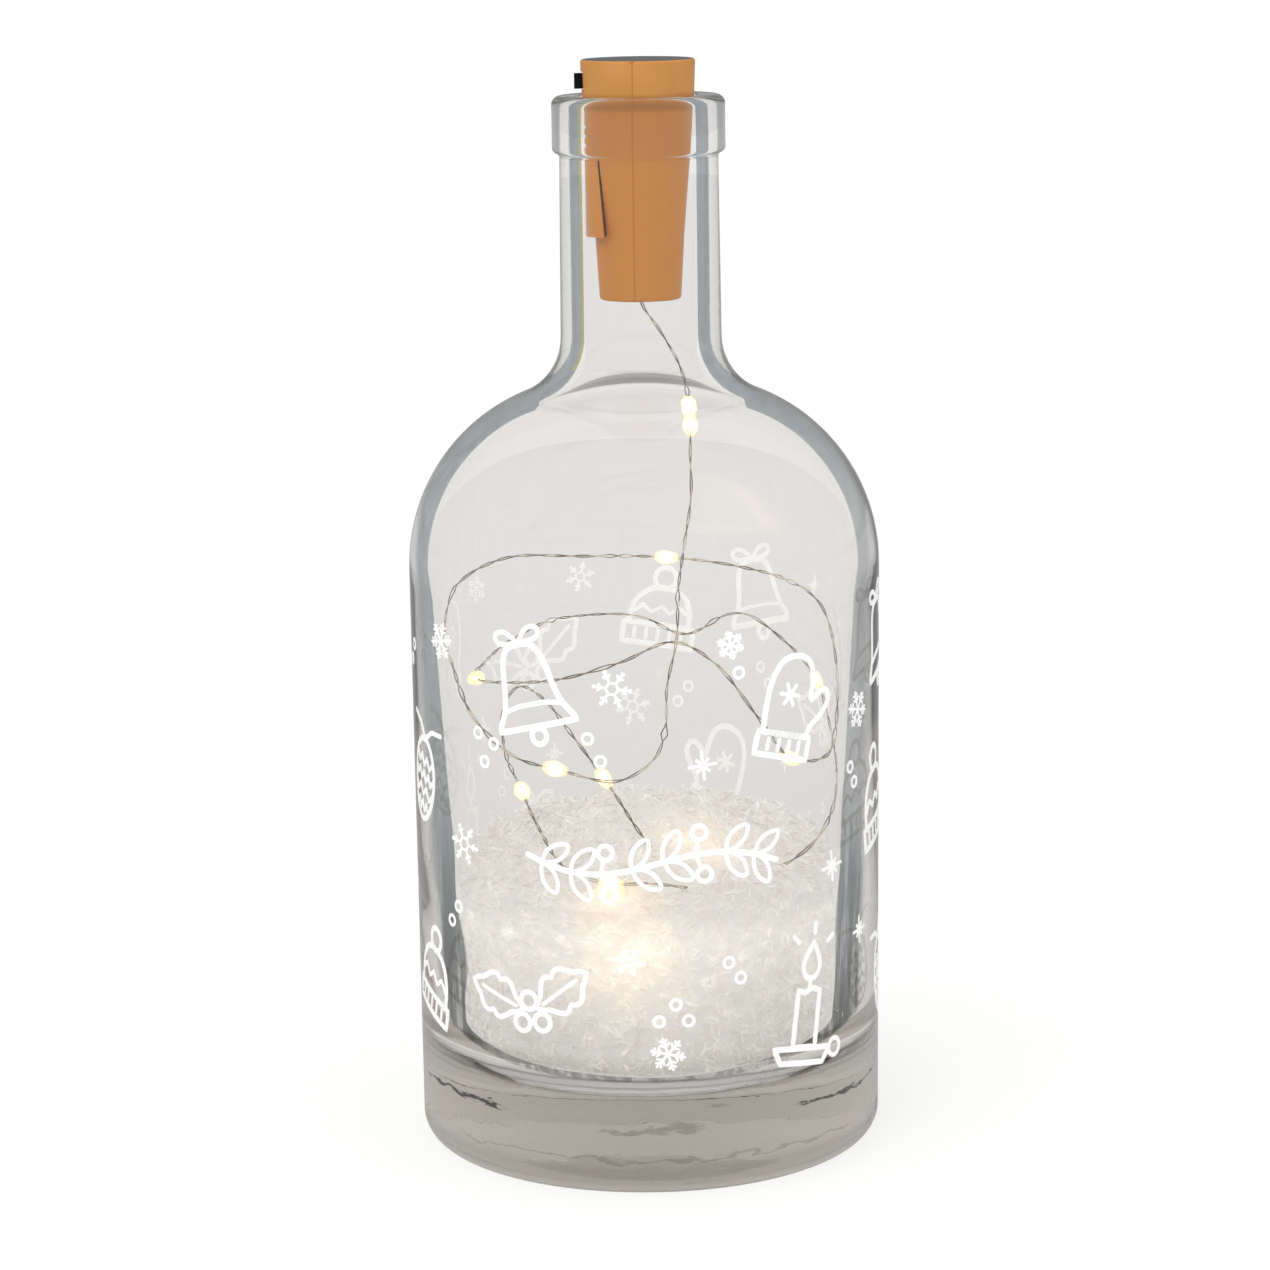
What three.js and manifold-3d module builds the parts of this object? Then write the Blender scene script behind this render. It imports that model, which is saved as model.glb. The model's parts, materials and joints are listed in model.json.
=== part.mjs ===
import * as THREE from 'three';
import { ConvexGeometry } from 'three/addons/geometries/ConvexGeometry.js';
import { mergeVertices } from 'three/addons/utils/BufferGeometryUtils.js';
import Module from 'manifold-3d';

// A bottle light: a clear glass bottle with loose snow in its foot, and a stopper moulded to look
// like a cork that holds three button cells, a slide switch and a string of ten small lights.
// Millimetres, +Z up. The bottle stands on z = 0 with its axis on the Z axis, and -Y is its front.

const wasm = await Module();
wasm.setup();

// Facets
const roundFacets = 48;
const cellFacets = 24;
const smallFacets = 12;
const wireSides = 8;

// Bottle, outside
const bottleHeight = 192.8;
const shoulderStart = 107.75;
const bodyRadius = 43;
const footRadius = 42.6;
const heelRound = 5.1;
const puntRadius = 30;
const puntHeight = 2.2;
const shoulderRound = 33.9;
const neckRound = 11.1;
const neckFootRadius = 14.6;
const neckTopRadius = 14.3;
const lipRadius = 15.6;
const lipHeight = 10.4;
const lipLowerRound = 1.2;
const lipUpperRound = 1.6;
const mouthRound = 0.8;

// Bottle, inside
const wall = 3.8;
const footWall = 8.1;
const floorThickness = 14.8;
const floorCrown = 0.8;
const bowlRound = 12;
const boreRound = 15;
const mouthClearance = 0.25;

// Stopper, outside
const headHeight = 6.4;
const headRadius = 10.3;
const seatRadius = 10.07;
const plugLength = 36.4;
const plugCoverRadius = 8.05;
const plugFootRadius = 7.4;
const stopperRound = 0.5;
const seamX = -1;
const seamGap = 0.12;

// Battery cover, a curved panel in a dovetail slot
const coverLength = 22.6;
const coverTopDrop = 2.2;
const coverRadius = 9.7;
const coverThickness = 1.3;
const coverFootHalf = 6.4;
const coverTopHalf = 4.6;
const coverUndercut = 0.6;
const coverEdgeX = -8;
const coverRailFootX = -5.8;
const coverRailTopX = -7.4;
const fit = 0.3;

// How far a cut runs on past the face that it opens
const through = 1;

// Cells, contacts and bay
const cellCount = 3;
const cellRadius = 5.8;
const cellHeight = 5.4;
const cellRimRound = 0.5;
const cellShoulder = 0.3;
const cellCapRadius = 4.9;
const cellCapHeight = 0.4;
const cellRoom = 0.35;
const cellWayRoom = 0.1;
const bayX = -2;
const springWire = 0.5;
const springTurns = 3;
const springFootRadius = 4.2;
const springTopRadius = 2.2;
const springHeight = 3.9;
const springTail = 0.6;
const springHoleRoom = 0.2;
const plateThickness = 0.4;
const plateRadius = 4.6;
const tabWidth = 2;
const tabX = 2.4;

// Switch and circuit board in the head
const partition = 1.3;
const boardLift = 0.9;
const boardThickness = 0.8;
const boardLength = 15;
const boardWidth = 8.6;
const boardX = -0.3;
const headWall = 1.8;
const housingDepth = 4;
const housingWidth = 8.6;
const housingHeight = 3.3;
const housingX = -5.9;
const grooveDepth = 1.2;
const grooveHeight = 1.9;
const terminalCount = 3;
const terminalPitch = 2.5;
const terminalWidth = 0.5;
const terminalReach = 0.4;
const knobWidth = 2.6;
const knobHeight = 2.7;
const knobProud = 1.1;
const knobBevel = 0.25;
const knobRoot = 0.5;
const knobTravel = 2;
const resistorX = 3;
const resistorRadius = 0.95;
const resistorLength = 3.8;
const resistorSpan = 6.2;
const resistorLead = 0.5;
const resistorEnd = 0.9;
const resistorEndRound = 0.4;
const resistorWaist = 0.85;

// Wiring room, string exit and the pins that join the two shells
const wiringRadius = 2.6;
const wiringHeight = 3.6;
const bayFloorThickness = 1.8;
const exitRadius = 1.5;
const sealRadius = 2.1;
const sealHeight = 2.3;
const innerWireRadius = 0.45;
const innerWireX = 6;
const innerWireStart = 0.9;
const innerWireLift = 2.3;
const innerWireDip = 1.6;
const innerWireBend = 1.4;
const innerWireSteps = 20;
const pinRadius = 0.6;
const pinReach = 2;
const pinRoom = 0.2;
const pinTopDrop = 6;
const pinFootRise = 4;

// String of lights
const stringRadius = 0.4;
const leadLength = 56;
const slackLength = 43;
const leadSteps = 14;
const slackSteps = 10;
const loopSteps = 104;
const beadRadius = 1.4;
const beadLength = 5;

// Snow
const snowHeight = 55.2;
const snowTilt = 0.035;
const moundHeight = 7.6;
const moundWidth = 17;
const rippleHeight = 0.7;
const rippleLength = 19;
const snowRimDrop = 1.5;

// Levels worked out from the sizes above
const boreRadius = seatRadius + mouthClearance;
const stopperTop = bottleHeight + headHeight;
const stopperFoot = bottleHeight - plugLength;
const coverTop = bottleHeight - coverTopDrop;
const coverFoot = coverTop - coverLength;
const bayTop = coverTop - fit / 3;
const cellsHigh = cellCount * cellHeight + (cellCount - 1) * fit;
const plateZ = bayTop - fit - plateThickness;
const cellsFoot = plateZ - fit - cellsHigh;
const bayFloor = cellsFoot - fit - springHeight - fit;
const pocketFloor = bayTop + partition;
const pocketTop = stopperTop - headWall;
const boardZ = pocketFloor + boardLift;
const housingZ = boardZ + boardThickness + fit;
const switchZ = housingZ + housingHeight / 2;
const wiringTop = bayFloor - bayFloorThickness;
const wiringFoot = wiringTop - wiringHeight;
const sealTop = stopperFoot + sealHeight;

// A level on the string's way in: 0 at the plug's foot, 1 at the foot of the bottle's shoulder
function neckLevel(share) {
  return stopperFoot + (shoulderStart - stopperFoot) * share;
}

// The string's route from the wiring room down to its end in the snow, chosen point by point
const stringPoints = [
  [0, 0, wiringFoot + 1], [0, 0, sealTop + fit], [0.2, 0, neckLevel(0.02)], [3, 0.5, neckLevel(0.11)],
  [6, 1, neckLevel(0.214)], [7.8, 1, neckLevel(0.33)], [8.6, 1, neckLevel(0.47)],
  [8.5, 0, neckLevel(0.594)], [8.5, -3, neckLevel(0.738)], [7.1, -5, neckLevel(0.923)],
  [5.9, -7, 103.5], [5.6, -8, 94.5], [3.7, -9, 85.5], [3.4, -10, 78.5], [1.5, -12, 73.5],
  [-5, -15, 70], [-16.2, -19, 73.5], [-23, -20, 76.2], [-30, -16, 82.5], [-34.5, -9, 90.5],
  [-37, -3, 94.5], [-37.2, 3, 98.5], [-34.5, 9, 103], [-26, 15, 106.3], [-12, 22, 105.3],
  [4.1, 26, 104.2], [17.2, 22, 103], [28.2, 13, 101], [34, 4, 96.5], [35.3, -4, 89.5],
  [34.5, -9, 80.5], [31.8, -14, 74.5], [24.7, -22, 75.8], [19.1, -28, 84.5], [11.5, -32, 95.5],
  [4.6, -33.5, 99.5], [-4.4, -33.5, 96], [-15, -30.5, 92.5], [-24.7, -25, 91], [-29.5, -17, 90],
  [-29.5, -4, 89.5], [-25.6, 12, 90], [-17.2, 24, 91.2], [-2.8, 32, 90.4], [7.8, 34, 85.8],
  [18.2, 31, 90.4], [28.4, 23, 85.8], [33.8, 13, 81.2], [35.4, 3, 75.5], [35.6, -5, 67.5],
  [31.5, -12, 60.5], [25.2, -16, 55.2], [16.8, -12, 51], [8.6, -8, 51.2], [2.5, -11, 54.5],
  [-1.4, -14, 60], [-5.4, -12, 66], [-7.9, -9, 69], [-13.2, -2, 74.5], [-19.7, 8, 80],
  [-24.7, 14, 80.6], [-27.7, 15, 76.6], [-27, 6, 71], [-23.1, -4, 65.5], [-19.1, -15, 61],
  [-13.9, -26, 57], [-6.4, -31, 55.6], [0.2, -32, 55.8], [6.5, -27, 53.5],
];

// How many points on along the route each light sits from the one before
const beadSteps = [6, 10, 9, 7, 7, 8, 6, 4, 6, 3];
const beadIndices = beadSteps.map((_, i) => beadSteps.slice(0, i + 1).reduce((sum, step) => sum + step));

// Materials
const finishes = {
  glass: { color: '#e4ecee', roughness: 0.03, metalness: 0, transparent: true, opacity: 0.35 },
  snow: { color: '#e6e5e1', roughness: 0.9, metalness: 0 },
  cork: { color: '#c98f58', roughness: 0.55, metalness: 0 },
  black: { color: '#17171a', roughness: 0.45, metalness: 0 },
  steel: { color: '#c8c7c3', roughness: 0.3, metalness: 1 },
  board: { color: '#2f6f4a', roughness: 0.5, metalness: 0 },
  resistor: { color: '#cdb88a', roughness: 0.5, metalness: 0 },
  glue: { color: '#ded6c4', roughness: 0.4, metalness: 0 },
  wire: { color: '#9d9180', roughness: 0.4, metalness: 0.6 },
  light: { color: '#ffedc2', roughness: 0.3, metalness: 0, emissive: '#ffdf9e' },
};

// Closed solids, cut and joined

function signedVolume(points, triangles) {
  let sum = 0;
  const corners = [new THREE.Vector3(), new THREE.Vector3(), new THREE.Vector3()];
  for (let i = 0; i < triangles.length; i += 3) {
    corners.forEach((corner, k) => corner.fromArray(points, 3 * triangles[i + k]));
    sum += corners[0].dot(corners[1].clone().cross(corners[2]));
  }
  return sum / 6;
}

function solid(geometry) {
  const bare = geometry.clone();
  bare.deleteAttribute('normal');
  bare.deleteAttribute('uv');
  const merged = mergeVertices(bare);
  const points = Float32Array.from(merged.attributes.position.array);
  const triangles = [];
  for (let i = 0; i < merged.index.count; i += 3) {
    const [a, b, c] = [0, 1, 2].map((k) => merged.index.getX(i + k));
    if (a !== b && b !== c && c !== a) triangles.push(a, b, c);
  }
  if (signedVolume(points, triangles) < 0) triangles.reverse();
  const triVerts = Uint32Array.from(triangles);
  return new wasm.Manifold(new wasm.Mesh({ numProp: 3, vertProperties: points, triVerts }));
}

function geometryOf(manifold) {
  const mesh = manifold.getMesh();
  const geometry = new THREE.BufferGeometry();
  geometry.setAttribute('position', new THREE.BufferAttribute(mesh.vertProperties, 3));
  geometry.setIndex(new THREE.BufferAttribute(mesh.triVerts, 1));
  geometry.computeVertexNormals();
  return geometry;
}

function largestBody(manifold) {
  return manifold.decompose().sort((a, b) => b.volume() - a.volume())[0];
}

// Shapes

function arc(r, z, radius, from, to, steps) {
  const points = [];
  for (let i = 0; i <= steps; i += 1) {
    const angle = THREE.MathUtils.degToRad(from + ((to - from) * i) / steps);
    points.push([r + radius * Math.cos(angle), z + radius * Math.sin(angle)]);
  }
  return points;
}

function turned(profile, facets = roundFacets) {
  const points = profile.map(([r, z]) => new THREE.Vector2(Math.max(r, 0), z));
  return new THREE.LatheGeometry(points, facets).rotateX(Math.PI / 2);
}

function drum(radius, foot, top, facets = roundFacets) {
  return turned([[0, foot], [radius, foot], [radius, top], [0, top]], facets);
}

function block(x0, x1, y0, y1, z0, z1) {
  const box = new THREE.BoxGeometry(x1 - x0, y1 - y0, z1 - z0);
  return box.translate((x0 + x1) / 2, (y0 + y1) / 2, (z0 + z1) / 2);
}

function tube(path, radius, steps, sides) {
  const corners = [];
  for (let i = 0; i < sides; i += 1) {
    const angle = (2 * Math.PI * i) / sides;
    corners.push(new THREE.Vector2(radius * Math.cos(angle), radius * Math.sin(angle)));
  }
  const section = new THREE.Shape(corners);
  return new THREE.ExtrudeGeometry(section, { steps, bevelEnabled: false, extrudePath: path });
}

function curveThrough(points) {
  const curve = new THREE.CatmullRomCurve3(points.map((p) => new THREE.Vector3(...p)));
  curve.arcLengthDivisions = 100 * points.length;
  return curve;
}

// A stretch of a longer curve, between two distances along it
class Stretch extends THREE.Curve {
  constructor(curve, from, to) {
    super();
    this.curve = curve;
    this.from = from / curve.getLength();
    this.to = to / curve.getLength();
  }

  getPoint(t, target = new THREE.Vector3()) {
    return this.curve.getPointAt(this.from + (this.to - this.from) * t, target);
  }
}

// Assembly

const bottleLight = new THREE.Group();
const bottleGroup = new THREE.Group();
const stopperGroup = new THREE.Group();
bottleLight.add(bottleGroup, stopperGroup);

function add(group, name, geometry, finish, place = [0, 0, 0]) {
  const mesh = new THREE.Mesh(geometry, new THREE.MeshStandardMaterial(finishes[finish]));
  mesh.name = name;
  mesh.position.set(...place);
  group.add(mesh);
  return mesh;
}

// Bottle

// The fillet that joins the shoulder's arc to the neck: its centre's height and its angle
function shoulderJoin(shoulder, fillet, neck) {
  const centreR = bodyRadius - shoulderRound;
  const across = neck + fillet - centreR;
  const rise = Math.sqrt((shoulder + fillet) ** 2 - across ** 2);
  return { z: shoulderStart + rise, angle: THREE.MathUtils.radToDeg(Math.atan2(rise, across)) };
}

const innerShoulder = shoulderRound - wall;
const bowlTop = floorThickness + bowlRound;
const bowlTopRadius = footRadius - footWall;

function outsideOfBottle() {
  const shoulderR = bodyRadius - shoulderRound;
  const join = shoulderJoin(shoulderRound, neckRound, neckFootRadius);
  const lipFoot = bottleHeight - lipHeight;
  const punt = [0, 1, 2, 3].map((i) => [
    (puntRadius * i) / 4,
    puntHeight * (1 - (i / 4) ** 2),
  ]);
  return [
    ...punt,
    [puntRadius, 0],
    ...arc(footRadius - heelRound, heelRound, heelRound, -90, 0, 4),
    ...arc(shoulderR, shoulderStart, shoulderRound, 0, join.angle, 8),
    ...arc(neckFootRadius + neckRound, join.z, neckRound, 180 + join.angle, 180, 4).slice(1),
    [neckTopRadius, lipFoot],
    ...arc(lipRadius - lipLowerRound, lipFoot + lipLowerRound, lipLowerRound, -90, 0, 2),
    ...arc(lipRadius - lipUpperRound, bottleHeight - lipUpperRound, lipUpperRound, 0, 90, 3),
  ];
}

function insideOfBottle() {
  const shoulderR = bodyRadius - shoulderRound;
  const join = shoulderJoin(innerShoulder, boreRound, boreRadius);
  return [
    ...arc(boreRadius + mouthRound, bottleHeight - mouthRound, mouthRound, 90, 180, 2),
    ...arc(boreRadius + boreRound, join.z, boreRound, 180, 180 + join.angle, 4),
    ...arc(shoulderR, shoulderStart, innerShoulder, join.angle, 0, 6).slice(1),
    ...arc(bowlTopRadius - bowlRound, bowlTop, bowlRound, 0, -90, 4),
    [(bowlTopRadius - bowlRound) / 2, floorThickness + floorCrown * 0.75],
    [0, floorThickness + floorCrown],
  ];
}

add(bottleGroup, 'bottle_glass', turned([...outsideOfBottle(), ...insideOfBottle()]), 'glass');

// String of lights

const stringRoute = curveThrough(stringPoints);
const slackStart = leadLength + fit;
const loopsStart = slackStart + slackLength + fit;
const stretches = {
  lead: { path: new Stretch(stringRoute, 0, leadLength), steps: leadSteps },
  slack: {
    path: new Stretch(stringRoute, slackStart, slackStart + slackLength),
    steps: slackSteps,
  },
  loops: {
    path: new Stretch(stringRoute, loopsStart, stringRoute.getLength()),
    steps: loopSteps,
  },
};

function stringTube(stretch, grow = 0) {
  return tube(stretch.path, stringRadius + grow, stretch.steps, wireSides);
}

// A drop of clear resin over a light, along +Z about its middle: a long ball with blunt ends
const dropSteps = 6;
const dropBluntness = 0.7;

function drop(grow = 0) {
  const profile = [];
  for (let i = 0; i <= dropSteps; i += 1) {
    const angle = Math.PI * (i / dropSteps - 0.5);
    const across = (beadRadius + grow) * Math.cos(angle) ** dropBluntness;
    profile.push([across, (beadLength / 2 + grow) * Math.sin(angle)]);
  }
  return turned(profile, smallFacets);
}

function lightDirection(index) {
  const before = new THREE.Vector3(...stringPoints[index - 1]);
  const after = new THREE.Vector3(...stringPoints[index + 1]);
  return after.sub(before).normalize();
}

function placedDrop(index, grow = 0) {
  const turn = new THREE.Quaternion();
  turn.setFromUnitVectors(new THREE.Vector3(0, 0, 1), lightDirection(index));
  return drop(grow).applyQuaternion(turn).translate(...stringPoints[index]);
}

const wideLead = solid(stringTube(stretches.lead, fit));
const wideLoops = solid(stringTube(stretches.loops, fit));

add(stopperGroup, 'string_lead', stringTube(stretches.lead), 'wire');
add(bottleGroup, 'string_slack', stringTube(stretches.slack), 'wire');
add(bottleGroup, 'string_loops', stringTube(stretches.loops), 'wire');

beadIndices.forEach((index, i) => {
  const onLead = i === 0;
  const bead = solid(placedDrop(index)).subtract(onLead ? wideLead : wideLoops);
  const group = onLead ? stopperGroup : bottleGroup;
  add(group, `led_bead_${i + 1}`, geometryOf(largestBody(bead)), 'light');
});

// Snow, lying in the bowl of the bottle with a low mound

function snowTop(x, y) {
  const mound = moundHeight * Math.exp(-(x ** 2 + (y - 2) ** 2) / moundWidth ** 2);
  const turn = (2 * Math.PI) / rippleLength;
  const ripple = Math.sin(turn * x) * Math.cos(turn * y);
  return snowHeight + snowTilt * y + mound + rippleHeight * ripple;
}

function snow() {
  const taper = (bodyRadius - wall - bowlTopRadius) / (shoulderStart - bowlTop);
  const rim = bowlTopRadius - fit + (snowHeight - bowlTop) * taper;
  const bowl = arc(bowlTopRadius - bowlRound, bowlTop, bowlRound - fit, -90, 0, 4);
  const rings = [1, 0.94, 0.82, 0.66, 0.48, 0.3, 0.14, 0];
  const crown = floorThickness + floorCrown + fit;
  const half = [(bowlTopRadius - bowlRound) / 2, crown - floorCrown * 0.25];
  const profile = [[0, crown], half, ...bowl];
  const firstTopRing = profile.length;
  profile.push(...rings.map((share) => [share * rim, snowHeight]));
  const shape = turned(profile);
  const position = shape.attributes.position;
  for (let i = 0; i < position.count; i += 1) {
    if (i % profile.length >= firstTopRing) {
      const sink = i % profile.length === firstTopRing ? snowRimDrop : 0;
      position.setZ(i, snowTop(position.getX(i), position.getY(i)) - sink);
    }
  }
  let body = solid(shape).subtract(wideLoops);
  for (const index of beadIndices.slice(1)) body = body.subtract(solid(placedDrop(index, fit)));
  return geometryOf(largestBody(body));
}

add(bottleGroup, 'snow_fill', snow(), 'snow');

// Stopper shells

const bayRadius = cellRadius + cellRoom;

function plugRadiusAt(z) {
  const low = z < coverFoot;
  const [r0, z0] = low ? [plugFootRadius, stopperFoot] : [plugCoverRadius, coverFoot];
  const [r1, z1] = low ? [plugCoverRadius, coverFoot] : [seatRadius, bottleHeight];
  return r0 + ((r1 - r0) * (z - z0)) / (z1 - z0);
}

function stopperOutside() {
  return turned([
    [0, stopperFoot],
    ...arc(plugFootRadius - stopperRound, stopperFoot + stopperRound, stopperRound, -90, 0, 2),
    [plugCoverRadius, coverFoot],
    [seatRadius, bottleHeight],
    ...arc(headRadius - stopperRound, stopperTop - stopperRound, stopperRound, 0, 90, 2),
    [0, stopperTop],
  ]);
}

// A size of the cover's outline at a level z, from its value at the foot and at the top
function alongCover(atFoot, atTop, z) {
  return atFoot + ((atTop - atFoot) * (z - coverFoot)) / coverLength;
}

// The cover's outline as a wedge that narrows upward and widens inward
function keystone(grow, foot, top) {
  const corners = [];
  for (const z of [foot, top]) {
    const railX = alongCover(coverRailFootX, coverRailTopX, z) + grow;
    for (const x of [-coverRadius - through, railX]) {
      const half = alongCover(coverFootHalf, coverTopHalf, z) + coverUndercut * (x - coverEdgeX) + grow;
      corners.push(new THREE.Vector3(x, -half, z), new THREE.Vector3(x, half, z));
    }
  }
  return new ConvexGeometry(corners);
}

const cellWayHalf = cellRadius + cellWayRoom;
const cellWayTop = bayFloor + cellHeight + fit;
const knobSlotHalf = (knobWidth + knobTravel) / 2 + fit;
const pocketHalfWidth = housingWidth / 2 + fit;
const housingFaceX = housingX - housingDepth / 2;
const boardEndX = boardX + boardLength / 2;

// The places of the four pins, between the bay or the string's exit and the outside
function pinPlaces() {
  const topZ = bayTop - pinTopDrop;
  const footZ = stopperFoot + pinFootRise;
  const bayEdge = Math.sqrt(bayRadius ** 2 - (seamX - bayX) ** 2);
  const topY = (bayEdge + plugRadiusAt(topZ)) / 2;
  const footY = (sealRadius + fit + plugRadiusAt(footZ)) / 2;
  return [[topY, topZ], [-topY, topZ], [footY, footZ], [-footY, footZ]];
}

function pins(grow) {
  const [y0, z0] = pinPlaces()[0];
  const pin = (y, z) => solid(
    new THREE.CylinderGeometry(pinRadius + grow, pinRadius + grow, 2 * pinReach + grow, smallFacets)
      .rotateZ(Math.PI / 2)
      .translate(seamX, y, z),
  );
  let all = pin(y0, z0);
  for (const [y, z] of pinPlaces().slice(1)) all = all.add(pin(y, z));
  return all;
}

// From the string's end across the wiring room, and up beside the bay to the board
const innerWirePath = curveThrough([
  [innerWireStart, 0, wiringFoot + innerWireLift],
  [wiringRadius, 0, wiringFoot + innerWireDip],
  [innerWireX - innerWireBend, 0, wiringFoot + innerWireDip],
  [innerWireX, 0, wiringTop],
  [innerWireX, 0, bayFloor + springHeight],
  [innerWireX, 0, boardZ - fit],
]);

function springPath() {
  const foot = bayFloor + fit + springWire / 2;
  const rise = springHeight - springWire;
  const points = [
    [bayX, 0, wiringTop - springTail],
    [bayX, 0, bayFloor - springWire],
    [bayX + springWire, 0, foot],
  ];
  const steps = 8 * springTurns;
  for (let i = 0; i <= steps; i += 1) {
    const turn = (2 * Math.PI * i) / 8 + Math.PI / 2;
    const share = i / steps;
    const radius = springFootRadius + (springTopRadius - springFootRadius) * share;
    points.push([bayX + radius * Math.cos(turn), radius * Math.sin(turn), foot + rise * share]);
  }
  return curveThrough(points);
}

function stopperBody() {
  const springHole = springWire + springHoleRoom;
  const bay = drum(bayRadius, bayFloor, bayTop).translate(bayX, 0, 0);
  const cellWay = block(bayX - cellRadius, bayX, -cellWayHalf, cellWayHalf, bayFloor, cellWayTop);
  const head = block(
    housingFaceX - fit, boardEndX + fit, -pocketHalfWidth, pocketHalfWidth, pocketFloor, pocketTop,
  );
  const knobSlot = block(
    -headRadius - through, housingFaceX, -knobSlotHalf, knobSlotHalf,
    switchZ - knobHeight / 2 - fit, switchZ + knobHeight / 2 + fit,
  );
  const tabSlot = block(
    tabX - plateThickness / 2 - fit, tabX + plateThickness / 2 + fit,
    -tabWidth / 2 - fit, tabWidth / 2 + fit, bayTop - through, pocketFloor + through,
  );
  const cuts = [
    bay,
    cellWay,
    keystone(fit, bayFloor, coverTop + fit),
    head,
    knobSlot,
    tabSlot,
    drum(wiringRadius, wiringFoot, wiringTop, smallFacets),
    drum(exitRadius, stopperFoot - through, wiringFoot + through, smallFacets),
    drum(sealRadius + fit, stopperFoot - through, sealTop + fit, smallFacets),
    drum(springHole, wiringTop - through, bayFloor + through, smallFacets).translate(bayX, 0, 0),
    tube(innerWirePath, innerWireRadius + fit, innerWireSteps, wireSides),
    drum(innerWireRadius + fit, bayTop, boardZ, wireSides).translate(innerWireX, 0, 0),
  ];
  let body = solid(stopperOutside());
  for (const cut of cuts) body = body.subtract(solid(cut));
  return body;
}

const shells = stopperBody();
const farOut = 2 * headRadius;

function stopperSide(x0, x1) {
  return solid(block(x0, x1, -farOut, farOut, 0, stopperTop + through));
}

const leftPins = pins(0).intersect(stopperSide(seamX - pinReach, farOut));
const leftShell = shells.intersect(stopperSide(-farOut, seamX - seamGap / 2)).add(leftPins);
const rightShell = shells.intersect(stopperSide(seamX + seamGap / 2, farOut)).subtract(pins(pinRoom));

add(stopperGroup, 'stopper_shell_left', geometryOf(largestBody(leftShell)), 'cork');
add(stopperGroup, 'stopper_shell_right', geometryOf(largestBody(rightShell)), 'cork');

// Battery cover

const coverRing = solid(turned([
  [coverRadius - coverThickness, coverFoot],
  [coverRadius, coverFoot],
  [coverRadius, coverTop],
  [coverRadius - coverThickness, coverTop],
  [coverRadius - coverThickness, coverFoot],
]));
const cover = coverRing.intersect(solid(keystone(0, coverFoot, coverTop)));
add(stopperGroup, 'battery_cover', geometryOf(cover), 'cork');

// Button cells, spring and contact plate

function cell() {
  const can = cellHeight - cellCapHeight;
  return turned([
    [0, 0],
    ...arc(cellRadius - cellRimRound, cellRimRound, cellRimRound, -90, 0, 2),
    [cellRadius, can - cellShoulder],
    [cellRadius - cellShoulder, can],
    [cellCapRadius, can],
    [cellCapRadius, cellHeight],
    [0, cellHeight],
  ], cellFacets);
}

for (let i = 0; i < cellCount; i += 1) {
  const z = cellsFoot + i * (cellHeight + fit);
  add(stopperGroup, `battery_cell_${i + 1}`, cell(), 'steel', [bayX, 0, z]);
}

const springSteps = 8 * springTurns + 6;
add(stopperGroup, 'contact_spring', tube(springPath(), springWire / 2, springSteps, 6), 'steel');

// A disc on the top cell, with an arm whose end turns up to the board
function contactPlate() {
  const top = plateZ + plateThickness;
  const [half, tabHalf] = [tabWidth / 2, plateThickness / 2];
  const disc = solid(drum(plateRadius, plateZ, top, cellFacets).translate(bayX, 0, 0));
  const arm = solid(block(bayX, tabX, -half, half, plateZ, top));
  const tab = solid(block(tabX - tabHalf, tabX + tabHalf, -half, half, plateZ, boardZ - fit));
  return disc.add(arm).add(tab);
}

add(stopperGroup, 'contact_plate', geometryOf(contactPlate()), 'steel');

// Circuit board, resistor and slide switch

const terminalPlaces = [];
for (let i = 0; i < terminalCount; i += 1) {
  terminalPlaces.push((i - (terminalCount - 1) / 2) * terminalPitch);
}

function board() {
  let body = solid(block(
    boardX - boardLength / 2, boardEndX, -boardWidth / 2, boardWidth / 2,
    boardZ, boardZ + boardThickness,
  ));
  const top = boardZ + boardThickness;
  const hole = (x, y, radius) => solid(
    drum(radius + fit, boardZ - through, top + through, wireSides).translate(x, y, 0),
  );
  for (const y of terminalPlaces) body = body.subtract(hole(housingX, y, terminalWidth * 0.75));
  for (const side of [-1, 1]) {
    body = body.subtract(hole(resistorX, (side * resistorSpan) / 2, resistorLead / 2));
  }
  return body;
}

add(stopperGroup, 'circuit_board', geometryOf(board()), 'board');

function resistor() {
  const z = boardZ + boardThickness + fit + resistorRadius;
  const low = boardZ - terminalReach;
  const half = resistorSpan / 2;
  const bend = resistorLead;
  const stops = [
    [-half, low], [-half, z - bend], [-half + bend, z], [half - bend, z], [half, z - bend], [half, low],
  ];
  const points = stops.map(([y, h]) => [resistorX, y, h]);
  const lead = solid(tube(curveThrough(points), resistorLead / 2, 24, 6));
  const reach = resistorLength / 2;
  const round = resistorEndRound / 2;
  const end = [
    [0, reach],
    [resistorRadius - round, reach],
    [resistorRadius, reach - resistorEndRound],
    [resistorRadius, reach - resistorEnd],
    [resistorWaist, reach - resistorEnd - round],
  ];
  const otherEnd = end.map(([r, along]) => [r, -along]).reverse();
  const body = turned([...end, ...otherEnd], smallFacets).rotateX(Math.PI / 2).translate(resistorX, 0, z);
  return lead.add(solid(body));
}

add(stopperGroup, 'resistor', geometryOf(resistor()), 'resistor');

const grooveHalf = (knobWidth + knobTravel) / 2;
const housing = solid(block(
  housingFaceX, housingX + housingDepth / 2, -housingWidth / 2, housingWidth / 2,
  housingZ, housingZ + housingHeight,
)).subtract(solid(block(
  housingFaceX - through, housingFaceX + grooveDepth, -grooveHalf, grooveHalf,
  switchZ - grooveHeight / 2, switchZ + grooveHeight / 2,
)));
add(stopperGroup, 'switch_housing', geometryOf(housing), 'steel');

terminalPlaces.forEach((y, i) => {
  const half = terminalWidth / 2;
  const pin = block(-half, half, -half, half, boardZ - terminalReach, housingZ - fit / 3);
  add(stopperGroup, `switch_terminal_${i + 1}`, pin, 'steel', [housingX, y, 0]);
});

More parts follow.
